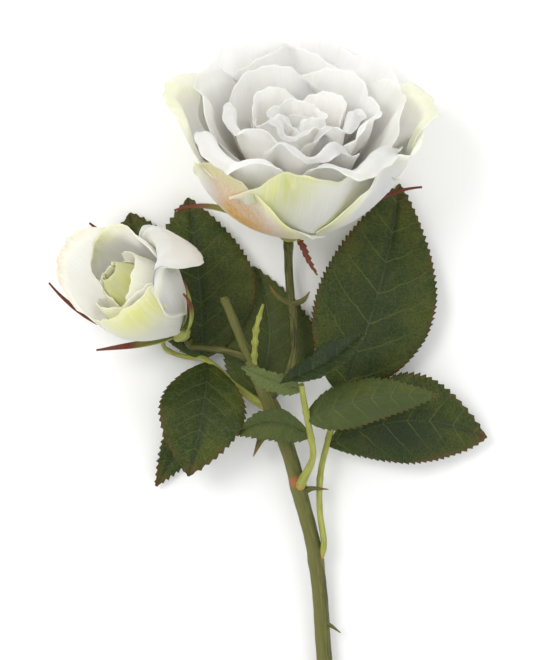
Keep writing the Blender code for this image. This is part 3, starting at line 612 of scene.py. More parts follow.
def add_sepal(shape, sepal, sheet, seed):
    points, along, across = fine_grid(sepal, sheet)
    side = np.abs(across)
    points = points + normals_of(points) * (0.105 * sepal.width * across**2)[..., None]
    if sepal.teeth:
        out = unit(np.gradient(points, axis=1)) * np.sign(across)[..., None]
        tooth = (along * 7.0 + (across > 0) * 0.4) % 1.0
        depth = smooth(0.5, 1.0, side) * smooth(0.05, 0.2, along) * smooth(1.0, 0.85, along)
        points = points + out * (sepal.teeth * tooth * depth)[..., None]
    half = 0.5 * (0.25 + 0.45 * smooth(0.0, 0.5, 1 - side) * (1 - 0.6 * along))
    uv = np.stack([across * sepal.width / 2 + 40 * seed, along * sepal.length], axis=2)
    tone = np.zeros((*along.shape, 4))
    tone[..., 0] = smooth(1.0 - sepal.red - 0.15, 1.0 - sepal.red + 0.2, along)
    tone[..., 1] = 0.35 * smooth(0.75, 1.0, side) * (1 - tone[..., 0])
    add_sheet(shape, points, half, uv, tone)


def add_hip(shape, profile, sides=28):
    """The receptacle: the profile turned about the flower's axis, with five faint ribs."""
    line = smooth_path([(r, h, 0, 0) for r, h in profile], 4)[:, :2]
    turns = [2 * math.pi * k / sides for k in range(sides)]
    points, uv = [], []
    for radius, height in line:
        for turn in turns:
            ribbed = radius * (1 + 0.03 * math.sin(5 * turn))
            points.append((ribbed * math.cos(turn), ribbed * math.sin(turn), height))
            uv.append((radius * turn, height))
    faces = [tuple(reversed(range(sides))), tuple(range(len(points) - sides, len(points)))]
    faces += ring_faces(len(line), sides)
    shape.add(points, faces, uv, [(0.12, 0.25, 0.0, 1.0)] * len(points))


# ---- leaves

TOOTH_LENGTH = 2.1
TOOTH_STEPS, LEAF_COLUMNS = 5, 29
SIDE_VEINS = 7.0  # on each side of the midrib


class Leaf:
    """A bent blade from base to tip whose upper side looks along facing.

    bow      how far its middle line arches up between base and tip
    bend     how far that line arches to its right
    fold     degrees that its two halves rise from the midrib
    twist    degrees that it turns about its own line from base to tip
    wave     (height, count) of the waves in its edge
    widest   share of its length at which it is widest
    red      strength of the red-brown of its edge and tip
    pale     share of the lower side's paleness that its upper side has
    dark     (along, across, reach, strength) of a patch of painted shade
    tooth    depth of the teeth in its edge
    """

    def __init__(self, name, base, tip, facing, width, bow=0.0, fold=8.0, twist=0.0, wave=(0.8, 2.0),
                 bend=0.0, widest=0.42, red=0.5, pale=0.0, dark=(0.3, 0.2, 0.3, 0.4), tooth=1.0):
        self.name, self.base, self.width = f"{name}_leaflet", Vector(base), width
        self.bow, self.fold, self.twist, self.wave, self.bend = bow, fold, twist, wave, bend
        self.widest, self.red, self.pale, self.dark, self.tooth = widest, red, pale, dark, tooth
        line, facing = Vector(tip) - self.base, Vector(facing)
        self.length, self.ahead = line.length, line.normalized()
        self.up = (facing - self.ahead * facing.dot(self.ahead)).normalized()

    def shape(self, seed):
        teeth = max(10, round(self.length / TOOTH_LENGTH))
        rows, columns = TOOTH_STEPS * teeth + 1, LEAF_COLUMNS
        t = np.linspace(0, 1, rows)[:, None] * np.ones((1, columns))
        across = np.linspace(-1, 1, columns)[None, :] * np.ones((rows, 1))
        side = np.where(across > 0, 1.0, -1.0)
        far = np.abs(across)
        arch = np.sin(math.pi * t)

        # The middle line and, along it, the ways out to the sides and up from the blade
        ahead, up, right = (np.array(v) for v in (self.ahead, self.up, self.ahead.cross(self.up)))
        middle = np.array(self.base) + ahead * (t * self.length)[..., None]
        middle = middle + up * (self.bow * arch)[..., None] + right * (self.bend * arch)[..., None]
        turn = np.radians(self.twist) * t
        out = right * np.cos(turn)[..., None] + up * np.sin(turn)[..., None]
        rise = up * np.cos(turn)[..., None] - right * np.sin(turn)[..., None]

        # Its outline, with teeth that lean towards the tip
        power = math.log(0.5) / math.log(self.widest)
        half = np.maximum(0.5 * self.width * np.sin(math.pi * t**power) ** 0.85, 0.45)
        uneven = 1.0 + 0.25 * np.sin(t * 37 + seed * 3 + side)
        spot = (t * teeth + 0.35 * (side > 0)) % 1.0
        saw = np.where(spot < 0.8, spot / 0.8, (1 - spot) / 0.2)
        depth = self.tooth * uneven * smooth(0.03, 0.12, t) * smooth(1.0, 0.97, t)
        wide = half * far + depth * (saw - 0.6) * smooth(0.72, 1.0, far)

        # Its height: waves, quilting between the side veins, and the groove of the midrib
        high, count = self.wave
        wave = high * far**2 * np.sin(2 * math.pi * count * t + np.where(across > 0, 1.3, 0.0)) * arch
        wave = wave + 0.35 * far**3 * np.sin(11 * math.pi * t + seed + side) * arch
        slant = far * half / self.length
        phase = SIDE_VEINS * (t + 0.35 - 0.62 * slant) - 1.2 * far * slant
        quilt = 0.028 * half * np.abs(np.sin(math.pi * phase)) ** 0.8
        quilt = quilt * smooth(0.02, 0.2, far) * smooth(1.0, 0.8, far)
        rib = -0.5 * np.exp(-((far * half / 0.9) ** 2))
        fold = math.radians(self.fold)
        lift = wide * math.sin(fold) + wave + quilt + rib
        points = middle + out * (side * wide * math.cos(fold))[..., None] + rise * lift[..., None]
        points = points + ahead * (0.5 * depth * (saw - 0.4) * smooth(0.8, 1.0, far))[..., None]

        n = normals_of(points)
        if np.sum(n[rows // 2, columns // 2] * up) < 0:
            points, far, phase, across = (np.flip(v, 1) for v in (points, far, phase, across))
        thick = 0.5 * (0.16 + 0.3 * smooth(0.0, 0.15, 1 - far))
        thick = thick + 0.3 * np.exp(-((far * half / 0.8) ** 2)) * (1 - 0.7 * t)
        uv = np.stack([across * half + 70 * seed, t * self.length], axis=2)
        tone, wear_and_shade = np.zeros((2, rows, columns, 4))
        tone[..., 0], tone[..., 1] = phase / PHASE_SCALE, far
        rusty = np.maximum(smooth(0.9, 1.02, far), smooth(0.85, 1.0, t) * 0.7)
        rusty = rusty + 0.3 * smooth(0.6, 1.0, far) * smooth(0.4, 1, t)
        wear_and_shade[..., 0] = np.clip(self.red * rusty, 0, 1)
        wear_and_shade[..., 1] = self.pale
        # The patch of painted shade, darkest at its middle
        at, off, reach, strength = self.dark
        wear_and_shade[..., 2] = strength * np.exp(-(((t - at) ** 2 + ((across - off) * 0.5) ** 2) / reach**2))
        shape = Shape()
        add_sheet(shape, points, thick, uv, tone, wear_and_shade)
        return shape


# ---- stems


def spokes(line, sides):
    """For each point of the line, the ring about it, without twist from one to the next."""
    side = Vector((0.0, 0.0, 1.0))
    rings = []
    for k in range(len(line)):
        ahead = Vector(line[min(k + 1, len(line) - 1)] - line[max(k - 1, 0)]).normalized()
        side = (side - ahead * side.dot(ahead)).normalized()
        rings.append(ring_about(ahead, side, sides))
    return rings


def ring_about(ahead, side, sides):
    """(turn, direction) of a ring's points about the way ahead."""
    across = ahead.cross(side)
    turns = [2 * math.pi * j / sides for j in range(sides)]
    return [(turn, side * math.cos(turn) + across * math.sin(turn)) for turn in turns]


def no_tones(share, turn):
    return (0, 0, 0, 0)


def add_tube(shape, path, sides, per_span, lumps=(), seed=0, rough=0.0, tones=no_tones):
    """A closed tube along path, which gives its radius too.

    lumps   (share of its length, length, swell) of its knots
    tones   gives the four tones at a share of its length and a turn about it
    """
    line = smooth_path(path, per_span)
    centres, radii = line[:, :3], line[:, 3]
    step = np.linalg.norm(np.diff(centres, axis=0), axis=1)
    reach = np.concatenate([[0], np.cumsum(step)])
    for share, length, swell in lumps:
        radii = radii + swell * np.exp(-(((reach - share * reach[-1]) / length) ** 2))
    points, uv, tone = [], [], []
    for centre, thick, at, ring in zip(centres, radii, reach, spokes(centres, sides)):
        for turn, way in ring:
            uneven = math.sin(3 * turn + 0.25 * at + seed) + 0.6 * math.sin(0.9 * at + 2 * turn + seed)
            points.append(tuple(Vector(centre) + way * (thick * (1 + rough * uneven))))
            uv.append((turn * thick + 60 * seed, at))
            tone.append(tones(at / reach[-1], turn))
    faces = [tuple(range(sides)), tuple(len(points) - 1 - j for j in range(sides))]
    shape.add(points, faces + ring_faces(len(centres), sides), uv, tone)


# (share of the radius, height, paleness) from the bark over the wood to the pith
CUT_RINGS = ((1.0, 0.0, 0.2), (0.86, 0.12, 0.75), (0.45, 0.1, 0.9), (0.3, -0.1, 1.0), (0.02, -0.15, 1.0))
CUT_SIDES = 24
CUT_HEIGHT = 0.15  # how far the cut face stands off the end of the tube


def add_cut(shape, centre, ahead, radius):
    """The cut face of a stem: bark, pale wood and pith as shallow rings."""
    ahead = ahead.normalized()
    ring = ring_about(ahead, ahead.orthogonal().normalized(), CUT_SIDES)
    points, uv, tone = [], [], []
    for share, height, pith in CUT_RINGS:
        for turn, way in ring:
            points.append(tuple(centre + way * (radius * share) + ahead * (height + CUT_HEIGHT)))
            uv.append((share * radius * math.cos(turn), share * radius * math.sin(turn)))
            tone.append((0, 0, 0, pith))
    shape.add(points, ring_faces(len(CUT_RINGS), CUT_SIDES), uv, tone)


# ---- what the rose is made of

BLOOM_BASE = Vector((0.8, 12.4, 18.9))
BLOOM_PITCH = 34.0  # degrees that the bloom's axis is raised from the stem's line
BLOOM_LEAN = 4.0  # degrees that it leans to +X
BUD_BASE = Vector((-41.2, -28.6, 18.5))
BUD_AXIS = Vector((-0.61, 0.54, 0.60))

# Each tube is a list of (x, y, z, radius)
MAIN_STEM = [(14.6, -186, 3.4, 2.9), (13.4, -160, 4.5, 2.8), (11.4, -130, 6, 2.75),
             (9.4, -111, 7.6, 2.7), (4.6, -91, 9, 2.7), (-0.3, -73.2, 10.5, 2.7),
             (-5.2, -60.5, 11.5, 2.8), (-10.2, -49, 13, 2.5), (-16, -35.6, 16, 1.9),
             (-22.1, -20.8, 20, 1.5)]
SHOOT_TIP = (-22.5, -19.7, 20.3, 0.7)  # rounds off the main stem's end
BLOOM_STALK = [(-8.6, -57, 12, 1.5), (-2.8, -50.1, 13.4, 1.55), (0.6, -43, 13.2, 1.55),
               (1.8, -34.2, 11.8, 1.5), (0.8, -20.1, 9, 1.5), (-0.1, -9, 6.9, 1.5), (-0.2, 0.8, 11, 1.6)]
BUD_STALK = [(-13.4, -41.4, 14.8, 1.3), (-19, -38.8, 15.4, 1.35), (-26, -37.4, 14.4, 1.3),
             (-32, -36.6, 11.8, 1.25), (-34.9, -36.2, 10.2, 1.3), (-36, -33.5, 12.1, 1.4)]
YOUNG_SHOOT = [(-12.2, -44.5, 14, 0.9), (-12, -37, 19.5, 0.9), (-11.4, -29.5, 21.5, 0.85),
               (-9.1, -21.5, 22.5, 0.5)]
RIGHT_RACHIS = [(9.6, -114, 7.6, 1.2), (12.4, -107, 8.8, 1.15), (10.9, -94.5, 9.4, 1.1),
                (11.4, -80.3, 9.2, 1.1), (14.9, -66.1, 9.4, 1.1), (18.6, -54, 8, 1)]
FRONT_RACHIS = [(3.4, -87, 9.4, 1.7), (5.2, -83, 14, 1.6), (8.4, -75, 19.5, 1.15),
                (7.2, -66, 24.5, 1.15), (5.2, -56, 31, 1.05), (4.2, -49.5, 35.5, 0.95)]
LEFT_RACHIS = [(-6.4, -58, 11, 1.6), (-12, -55.6, 9.8, 1.6), (-20, -49.5, 8, 1.1),
               (-27, -43, 6.6, 1.05), (-33, -39.6, 5.4, 1), (-38.6, -37.6, 4.6, 0.95)]
BENT_PETIOLE = [(-31.5, -40.4, 5.8, 0.9), (-38, -40, 5.4, 0.85), (-44.2, -37, 5.2, 0.8),
                (-44.2, -32.6, 6.4, 0.8), (-41, -29, 8.6, 0.7)]
THORNS = [[(-4.4, -62, 11.4, 1.9), (-9.4, -68.4, 12, 1.4), (-12.6, -75.4, 12.4, 0.15)],
          [(4.4, -88.4, 9.6, 1.8), (8, -86.8, 11, 0.9), (14, -87, 12.4, 0.15)],
          [(11, -135, 6.2, 1.6), (14.6, -135.6, 7.4, 0.8), (18.4, -138.2, 8.2, 0.15)],
          [(12.6, -158, 5, 1.6), (9, -158.6, 6.6, 0.8), (5.4, -161.2, 7.6, 0.15)]]
BRACTS = [[(0.9, -21.6, 10, 1.1), (-3.9, -19, 11.85, 0.95), (-6.9, -14.8, 12.5, 0.12)],
          [(0.9, -21.6, 10, 1.1), (5.05, -20.1, 11.85, 0.95), (7.4, -17, 12.5, 0.12)]]

# Knots are (share of its length, length, swell)
MAIN_KNOTS = ((0.42, 3, 0.25), (0.58, 4, 0.3), (0.74, 4, 0.35), (0.995, 1.6, 0.35))
SHOOT_KNOTS = ((0.25, 0.8, 0.5), (0.45, 0.8, 0.7), (0.62, 0.9, 0.55), (0.8, 0.8, 0.4))
STALK_KNOTS = ((0.04, 2, 0.35), (0.5, 1.2, 0.25), (0.75, 1.2, 0.25))
SCAR = 0.592  # share of the main stem's length at which an orange scar lies

LEAVES = [
    Leaf("right_upper", (18.8, -53.6, 7.8), (39.6, 21.4, 4), (0.1, 0.05, 1), 43, bow=3, fold=7, bend=2.5,
         red=0.7, dark=(0.35, 0, 0.35, 0.8)),
    Leaf("right_lower", (13.4, -71.5, 9.4), (70.4, -68.8, 6.5), (0, -0.15, 1), 34, bow=8, fold=-16, bend=-9,
         widest=0.52, red=0.9, dark=(0.45, 0.35, 0.32, 1.1)),
    Leaf("front_end", (-3.4, -49, 39.6), (26.4, -31, 38.6), (-0.5, 0.55, 0.68), 12, bow=-3, fold=14,
         twist=-25, widest=0.5, red=0.1, dark=(0.5, -0.3, 1, 1.2), tooth=0.8),
    Leaf("front_right", (6.2, -61, 27.8), (52.4, -53.4, 29), (0.05, 0.25, 1), 18, bow=4.5, fold=-20, bend=-2,
         widest=0.36, red=0.6, pale=0.3, dark=(0.6, 0.6, 0.4, 0.9)),
    Leaf("front_left", (4.9, -51.4, 33.8), (-16.6, -43.6, 33), (0.1, -0.5, 0.86), 8.6, bow=1.5, fold=10,
         red=0, pale=0.85, tooth=0.8),
    Leaf("front_low", (7.6, -67.4, 23.4), (-19.4, -67.4, 19.5), (0.15, -0.3, 1), 12.6, bow=2, fold=12, bend=5,
         red=0.2, pale=0.3, tooth=0.7),
    Leaf("left_upper", (-30.4, -41, 5.9), (-35.8, 16.4, 6.4), (0.05, 0.1, 1), 40, bow=1.6, fold=3, bend=1,
         red=0.6, dark=(0.3, 0.1, 0.3, 0.6)),
    Leaf("left_lower", (-28.6, -42, 6.3), (-35.4, -82, 18), (0, 0.25, 1), 31, bow=7, fold=9, bend=-1.5,
         widest=0.48, red=1, dark=(0.3, 0.2, 0.35, 0.8)),
    Leaf("left_under", (-20, -49.6, 8), (-47.4, -86.4, 4), (0.1, 0.1, 1), 17, bow=-3, fold=8, bend=2, red=1),
    Leaf("left_far", (-38.2, -37.8, 4.7), (-56.6, 11.2, 3.6), (0.1, 0.1, 1), 27, bow=-1, fold=3, bend=-3,
         widest=0.6, red=0.5),
    Leaf("left_middle", (-12.4, -55.2, 7.9), (-12.6, -7.9, 1.8), (0.1, 0, 1), 33, bow=-1.5, fold=3, bend=6,
         red=0.5, pale=0.35),
]


def ring_of(kind, ring, belly, shoulder):
    """What makes the petals of one circle; belly and shoulder serve those that name none of their own."""

    def petal(letter, azimuth, rim, width, belly=belly, shoulder=shoulder, **more):
        return Petal(f"{kind}_petal_{letter}", azimuth, ring, belly, shoulder, rim, width, **more)

    return petal


heart = ring_of("heart", 1.2, (2.5, 10.4), (6.5, 23.5))
core = ring_of("core", 2.6, (3.5, 10.4), (11, 23.5))
inner = ring_of("inner", 4.1, (4.5, 10.4), (17, 23.5))
middle = ring_of("middle", 5.7, (5.5, 10.4), (24, 23.5))
wide = ring_of("wide", 7.3, (6.5, 10.4), (30, 23.5))
outer = ring_of("outer", 8.9, (8, 10.4), (36, 23.5))
bud_heart = ring_of("bud_heart", 1.1, (6, 8), (13, 20))
bud_inner = ring_of("bud_inner", 2.6, (8, 8), (18, 17))
bud_outer = ring_of("bud_outer", 4.1, (11, 6), (20, 16))

# The bloom, from its heart outwards
BLOOM = [
    heart("a", 265, (3.4, 34.3), 15, cup=1.2),
    heart("b", 85, (4, 35), 16, cup=1.1),
    core("a", 330, (7.5, 36.8), 24, lip=(4, 70), ruffle=(1.4, 2, 0.3), frill=0.9),
    core("b", 210, (8, 35.9), 26, lip=(5, 80), ruffle=(1.4, 2.4, 0.9), frill=0.9),
    core("c", 90, (8.5, 38.4), 27, ruffle=(0.8, 2, 0.1)),
    inner("a", 255, (14.5, 36.6), 36, lip=(9, 110), ruffle=(2.2, 2.6, 0.2), frill=1.1),
    inner("b", 30, (15, 39.3), 36, lip=(2, 30), ruffle=(1, 2, 0.7)),
    inner("c", 145, (15.5, 40.9), 38, ruffle=(0.9, 2, 0.2)),
    inner("d", 325, (17, 38), 37, shoulder=(18, 23.5), lip=(8, 100), ruffle=(2, 2.2, 0.5), frill=1.1),
    middle("a", 215, (23.5, 38), 46, lip=(9, 105), ruffle=(1.8, 2.2, 0.4), corner=0.5, frill=1),
    middle("b", 345, (25, 40.9), 46, lip=(4, 45), ruffle=(1.8, 2.6, 0.1), frill=0.9),
    middle("c", 120, (26, 42.6), 48, ruffle=(1.2, 2, 0.3)),
    middle("d", 280, (27, 37.8), 50, shoulder=(25, 23.5), lip=(10, 110), ruffle=(2.8, 2.8, 0.8), corner=0.5,
           frill=1),
    middle("e", 52, (27, 43.4), 48, shoulder=(25, 23.5), ruffle=(1.2, 2.2, 0.9)),
    wide("a", 172, (33, 41.8), 54, lip=(5, 45), ruffle=(1.6, 2.4, 0.6)),
    wide("b", 8, (34, 42.6), 54, lip=(3, 35), ruffle=(1.6, 2.2, 0.2)),
    wide("c", 230, (34, 33), 58, belly=(14, 5), shoulder=(34, 18), lip=(15, 125), ruffle=(2, 2.4, 0.4),
         corner=0.55, frill=0.9),
    wide("d", 95, (33.5, 44.3), 58, shoulder=(31, 23.5), ruffle=(2, 2.2, 0.5), frill=0.9),
    wide("e", 308, (33.5, 34), 58, belly=(12, 7), shoulder=(33, 19), lip=(13, 125), ruffle=(2.2, 2.6, 0.9),
         corner=0.48, frill=1),
    outer("a", 65, (39.5, 43.4), 62, lip=(3, 25), ruffle=(2, 2.6, 0.2), notch=0.04, frill=1.2),
    outer("b", 120, (38.5, 44.3), 60, lip=(3, 25), ruffle=(2, 2.8, 0.7), notch=0.04, frill=1.2),
    outer("c", 8, (41, 36.4), 54, belly=(15, 5), shoulder=(38, 18), lip=(9, 75), ruffle=(1.6, 2, 0.5),
          tints=(("green", 1, 0, 0.16, 1.2, 0.7, "both"),)),
    outer("d", 178, (40.5, 37.3), 56, belly=(15, 5), shoulder=(38, 18), lip=(9, 75), ruffle=(1.6, 2, 0.8),
          tints=(("green", 1, 0, 0.2, 1.2, 0.75, "both"),)),
    outer("e", 287, (36, 34), 68, belly=(22, 0), shoulder=(38, 13), lip=(2, 40), ruffle=(1.6, 2.4, 0.5),
          tints=(("green", 0.95, -0.5, 0.32, 0.42, 1, "both"), ("green", 1, 0.3, 0.06, 0.8, 0.5, "both"))),
    outer("f", 334, (40.5, 36.4), 50, belly=(20, 1.2), shoulder=(39, 14.6), lip=(4, 60),
          ruffle=(1.6, 2.4, 0.6),
          tints=(("green", 0.7, -1, 0.5, 0.3, 0.8, "both"), ("green", 1, 0.2, 0.15, 0.8, 0.5, "both"))),
    outer("g", 226, (36.5, 28), 56, belly=(22, -1), shoulder=(37, 9), lip=(3, 30), ruffle=(0.4, 2, 0.1),
          corner=0.55, frill=0.2,
          tints=(("peach", 0.55, 0.2, 0.42, 0.5, 1, "out"), ("green", 1, 0, 0.16, 1.2, 0.8, "both"),
          ("green", 0.7, 0.78, 0.5, 0.1, 0.7, "out"))),
]

# The bud, from its heart outwards
BUD = [
    bud_heart("a", 150, (2.4, 33.5), 34, corner=0.12, frill=0.2,
              tints=(("green", 0.8, 0, 0.6, 1.2, 0.95, "both"),)),
    bud_heart("b", 285, (2.6, 34), 44, shoulder=(15, 21), corner=0.12, frill=0.2,
              tints=(("green", 0.8, 0, 0.6, 1.2, 0.95, "both"),)),
    bud_inner("a", 130, (5.6, 31), 40, belly=(7, 8), shoulder=(16, 18), ruffle=(0.5, 2, 0.2), frill=0.25,
              tints=(("green", 0.9, 0, 0.4, 1.2, 0.35, "both"),)),
    bud_inner("b", 352, (9, 32), 42, ruffle=(0.5, 2, 0.6), frill=0.25),
    bud_inner("c", 245, (10.5, 28.5), 46, shoulder=(18, 15), ruffle=(0.5, 2, 0.9), frill=0.25,
              tints=(("green", 0.75, 0, 0.35, 0.9, 0.9, "out"),)),
    bud_outer("a", 56, (15, 36), 42, belly=(10, 7), shoulder=(19, 18), lip=(3, 30), ruffle=(0.8, 2, 0.7),
              frill=0.3, tints=(("green", 1, 0.3, 0.1, 0.8, 0.8, "both"),)),
    bud_outer("b", 268, (15, 26), 54, lip=(2, 20), ruffle=(0.6, 2, 0.5), frill=0.25,
              tints=(("green", 0.9, 0.1, 0.32, 0.8, 0.95, "out"),)),
    bud_outer("c", 126, (16, 42), 40, shoulder=(20, 18), lip=(3, 40), ruffle=(0.8, 2, 0.3), frill=0.3,
              tints=(("green", 1, 0, 0.08, 1.2, 0.6, "both"), ("peach", 1, 0.3, 0.05, 0.6, 0.6, "both"))),
    bud_outer("d", 2, (27, 15), 31, belly=(16, 2), shoulder=(15, 60), ruffle=(0.3, 2, 0.1), corner=0.42,
              frill=0.1, overhang=0.45),
]

# Sepals a to e of each flower
BLOOM_NECK = [(3, -9.9), (11, -10.5)]
BLOOM_SEPALS = [
    Sepal(188, [*BLOOM_NECK, (24, 6), (41, -2)], 4.6, sweep=-3, red=0.35),
    Sepal(349, [*BLOOM_NECK, (30, 13), (45, 16.5)], 4.2, red=0.7),
    Sepal(302, [*BLOOM_NECK, (8, -12), (17, -19)], 1.7, sweep=6, red=0.9, teeth=0.8),
    Sepal(120, [*BLOOM_NECK, (18, 4), (23, 9)], 5),
    Sepal(62, [*BLOOM_NECK, (17, 4), (20, 10)], 5),
]
BUD_SEPALS = [
    Sepal(165, [(2, -5.6), (12, 0), (26, 12), (29, 35)], 3.4, sweep=-17, red=0.7),
    Sepal(184, [(2, -5.6), (10, -2), (19, 6), (27, 9)], 3.8, sweep=-8, red=0.55),
    Sepal(356, [(2, -5.6), (8, -2), (13, 4), (15, 12)], 4.6, sweep=4, red=0.2),
    Sepal(322, [(2, -5.6), (12, 0), (20, 10), (21, 17)], 3.4, red=0.4),
    Sepal(88, [(2, -5.6), (12, 0), (24, 14), (27, 37)], 4.2, sweep=6, red=0.8),
]
BLOOM_HIP = [(1.7, -13.5), (3.3, -12.2), (4.2, -10.8), (5.9, -9.2), (5.5, -8.6), (0.6, -0.8)]
BUD_HIP = [(1.5, -8.5), (2.6, -7.4), (3.2, -6.4), (3.9, -5.4), (3.4, -4.6), (0.5, -0.7)]


def end_corner():
    """Lowest x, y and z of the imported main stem, a tube of ten sides, in plant coordinates."""
    line = smooth_path(MAIN_STEM, 3)
    points = []
    for row, ring in zip(line, spokes(line[:, :3], 10)):
        points += [Vector(row[:3]) + way * row[3] for _, way in ring]
    return np.array(points).min(axis=0)


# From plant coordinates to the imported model's, both in millimetres
SHIFT = np.array(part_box("main_stem")[0]) / MM - end_corner()


def axis_frame(base, axis, sideways):
    """The place of a flower whose axis leaves base, with its X towards sideways."""
    up, right = Vector(axis).normalized(), Vector(sideways)
    right = (right - up * right.dot(up)).normalized()
    turn = Matrix((right, up.cross(right), up)).transposed()
    return Matrix.LocRotScale(base, turn.to_quaternion(), None)


# ---- building


def build_flower(petals, sepals, hip, place, finish, calyx, green):
    sheets = lay_petals(petals + sepals)
    for seed, (petal, sheet) in enumerate(zip(petals, sheets)):
        make(petal.name, petal_shape(petal, sheet, seed + 1).moved(place), finish)
    shape = Shape()
    add_hip(shape, hip)
    for seed, (sepal, sheet) in enumerate(zip(sepals, sheets[len(petals):])):
        add_sepal(shape, sepal, sheet, seed)
    make(calyx, shape.moved(place), green)


def main_tones(share, turn):
    scar = 0.9 * math.exp(-(((share - SCAR) / 0.008) ** 2)) * (0.5 + 0.5 * math.cos(turn))
    return (scar, 0.0, max(0.0, 0.35 + 0.6 * math.cos(turn + 0.9)), 0.0)
# The third tone is a painted highlight: palest on one side of the stem, fading to none on the other


def point_tones(share, turn):
    return (0.0, float(smooth(0.6, 1.0, share)), 0.3, 0.0)


def stalk_tones(share, turn):
    return (0.95 * float(smooth(0.1, 0.02, share)), 0.0, 0.3, 0.0)


def build_stems(bark, green):
    shape = Shape()
    add_tube(shape, [*MAIN_STEM, SHOOT_TIP], 24, 12, MAIN_KNOTS, 1, 0.03, main_tones)
    for thorn in THORNS:
        add_tube(shape, thorn, 12, 6, tones=point_tones)
    end, above = (Vector(row[:3]) for row in MAIN_STEM[:2])
    add_cut(shape, end, end - above, MAIN_STEM[0][3] * 0.97)
    make("main_stem", shape, bark)

    shape = Shape()
    add_tube(shape, BLOOM_STALK, 20, 9, ((0.58, 1.6, 0.35), (0.98, 2.0, 0.3)), 2, 0.03)
    for bract in BRACTS:
        add_tube(shape, bract, 10, 6, tones=point_tones)
    make("bloom_stalk", shape, bark)

    shape = Shape()
    add_tube(shape, BUD_STALK, 18, 9, ((0.05, 1.5, 0.3), (0.97, 1.5, 0.3)), 3, 0.03)
    make("bud_stalk", shape, bark)

    shape = Shape()
    add_tube(shape, YOUNG_SHOOT, 14, 10, SHOOT_KNOTS, 4, 0.08)
    make("young_shoot", shape, green)

    stalks = {"right": RIGHT_RACHIS, "front": FRONT_RACHIS, "left": LEFT_RACHIS}
    for seed, (name, path) in enumerate(stalks.items(), 5):
        shape = Shape()
        add_tube(shape, path, 16, 9, STALK_KNOTS, seed, 0.04, stalk_tones)
        if name == "left":
            add_tube(shape, BENT_PETIOLE, 12, 7, ((0.5, 1.0, 0.2),), 8, 0.05)
        make(f"{name}_leafstalk", shape, green)


def build_rose():
    # foot is painted warm shade for the deep cup, fading to white up each petal
    petal = petal_finish("petal", white=(0.95, 0.935, 0.895), foot=(0.93, 0.87, 0.66),
                         green=(0.76, 0.8, 0.2), peach=(0.93, 0.42, 0.12))
    bud_petal = petal_finish("bud_petal", white=(0.95, 0.935, 0.885), foot=(0.92, 0.9, 0.68),
                             green=(0.8, 0.81, 0.2), peach=(0.93, 0.5, 0.16))
    leaf = leaf_finish()
    bark = stem_finish("bark", dark=(0.024, 0.027, 0.006), light=(0.15, 0.15, 0.04),
                       specks=(0.22, 0.21, 0.09), tip=(0.2, 0.1, 0.03))
    green = stem_finish("young_green", dark=(0.2, 0.22, 0.035), light=(0.4, 0.42, 0.1),
                        specks=(0.46, 0.44, 0.2), tip=(0.3, 0.28, 0.05))
    sepal = sepal_finish()
    lean, pitch = math.radians(BLOOM_LEAN), math.radians(BLOOM_PITCH)
    bloom = axis_frame(BLOOM_BASE, (math.tan(lean), math.cos(pitch), math.sin(pitch)), (1.0, 0.0, 0.0))
    bud = axis_frame(BUD_BASE, BUD_AXIS, (1.0, 0.3, 0.0))
    build_flower(BLOOM, BLOOM_SEPALS, BLOOM_HIP, bloom, petal, "bloom_calyx", sepal)
    build_flower(BUD, BUD_SEPALS, BUD_HIP, bud, bud_petal, "bud_calyx", sepal)
    for seed, blade in enumerate(LEAVES):
        make(blade.name, blade.shape(seed + 1), leaf)
    build_stems(bark, green)


# ---- stage, light and camera

FLOOR_STEPS = 8
FLOOR_DROP = 0.0002  # metres that the floor lies below the model
EYE = Vector((-4.93, -30.66, 1045.0))  # the camera, in plant coordinates
LENS = 159.27
SENSOR_WIDTH, SENSOR_HEIGHT = 30.0, 36.0


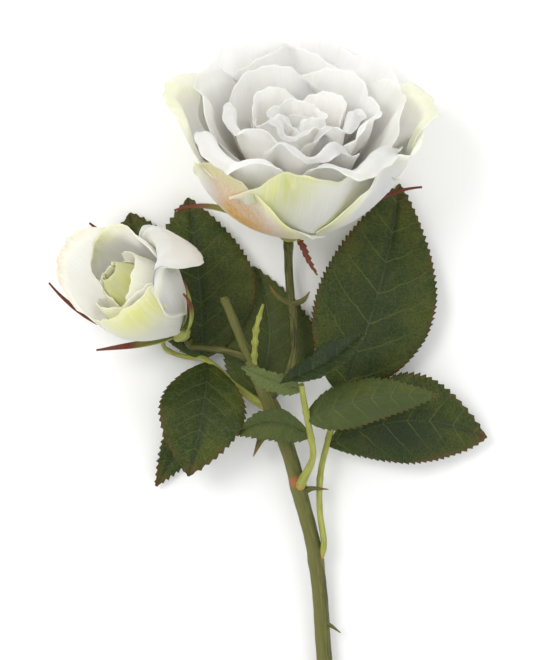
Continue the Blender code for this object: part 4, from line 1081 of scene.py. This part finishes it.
def build_stage():
    size = 8 * max(cad_high.x - cad_low.x, cad_high.y - cad_low.y)
    mesh = bpy.data.meshes.new("floor")
    line = np.linspace(-size, size, FLOOR_STEPS + 1)
    points = [(x, y, cad_low.z - FLOOR_DROP) for y in line for x in line]
    mesh.from_pydata(points, [], grid_faces(FLOOR_STEPS + 1, FLOOR_STEPS + 1))
    floor = linked("floor", mesh)
    f = Finish("floor", Specular_IOR_Level=0.2)
    speck = f.noise(f.place, 220.0, 3.0)
    cloud = f.noise(f.place, 3.0, 2.0)
    colour = f.mix(f.spread(cloud, 0.3, 0.7, 0.0, 0.5), (0.93, 0.93, 0.93), (0.915, 0.915, 0.91))
    mesh.materials.append(f.close(colour, f.spread(speck, 0.2, 0.8, 0.75, 0.9), speck, 0.02, 0.2))


def add_light(name, place, size, power, colour):
    """A round soft light that looks at the middle of the model's foot."""
    light = bpy.data.lights.new(name, "AREA")
    light.shape, light.size, light.energy, light.color = "DISK", size, power, colour
    lamp = linked(name, light)
    lamp.location = place
    target = Vector(((cad_low.x + cad_high.x) / 2, (cad_low.y + cad_high.y) / 2, cad_low.z))
    lamp.rotation_euler = (target - lamp.location).to_track_quat("-Z", "Y").to_euler()


def build_light():
    world = bpy.data.worlds.new("studio")
    bpy.context.scene.world = world
    world.use_nodes = True
    back = world.node_tree.nodes["Background"]
    back.inputs["Color"].default_value = (1.0, 1.0, 1.0, 1.0)
    back.inputs["Strength"].default_value = 0.97
    add_light("key", (-0.55, 0.35, 1.05), size=0.5, power=4.4, colour=(1.0, 0.99, 0.97))
    add_light("fill", (0.8, -0.3, 0.8), size=1.0, power=1.6, colour=(0.98, 0.99, 1.0))
    bpy.context.scene.view_settings.view_transform = "Standard"


def build_camera():
    """A camera a metre above the flowers' level, looking straight down."""
    camera = bpy.data.cameras.new("camera")
    camera.sensor_fit, camera.lens = "VERTICAL", LENS
    camera.sensor_width, camera.sensor_height = SENSOR_WIDTH, SENSOR_HEIGHT
    eye = linked("camera", camera)
    eye.location = (EYE + Vector(SHIFT)) * MM
    bpy.context.scene.camera = eye


build_rose()
build_stage()
build_light()
build_camera()
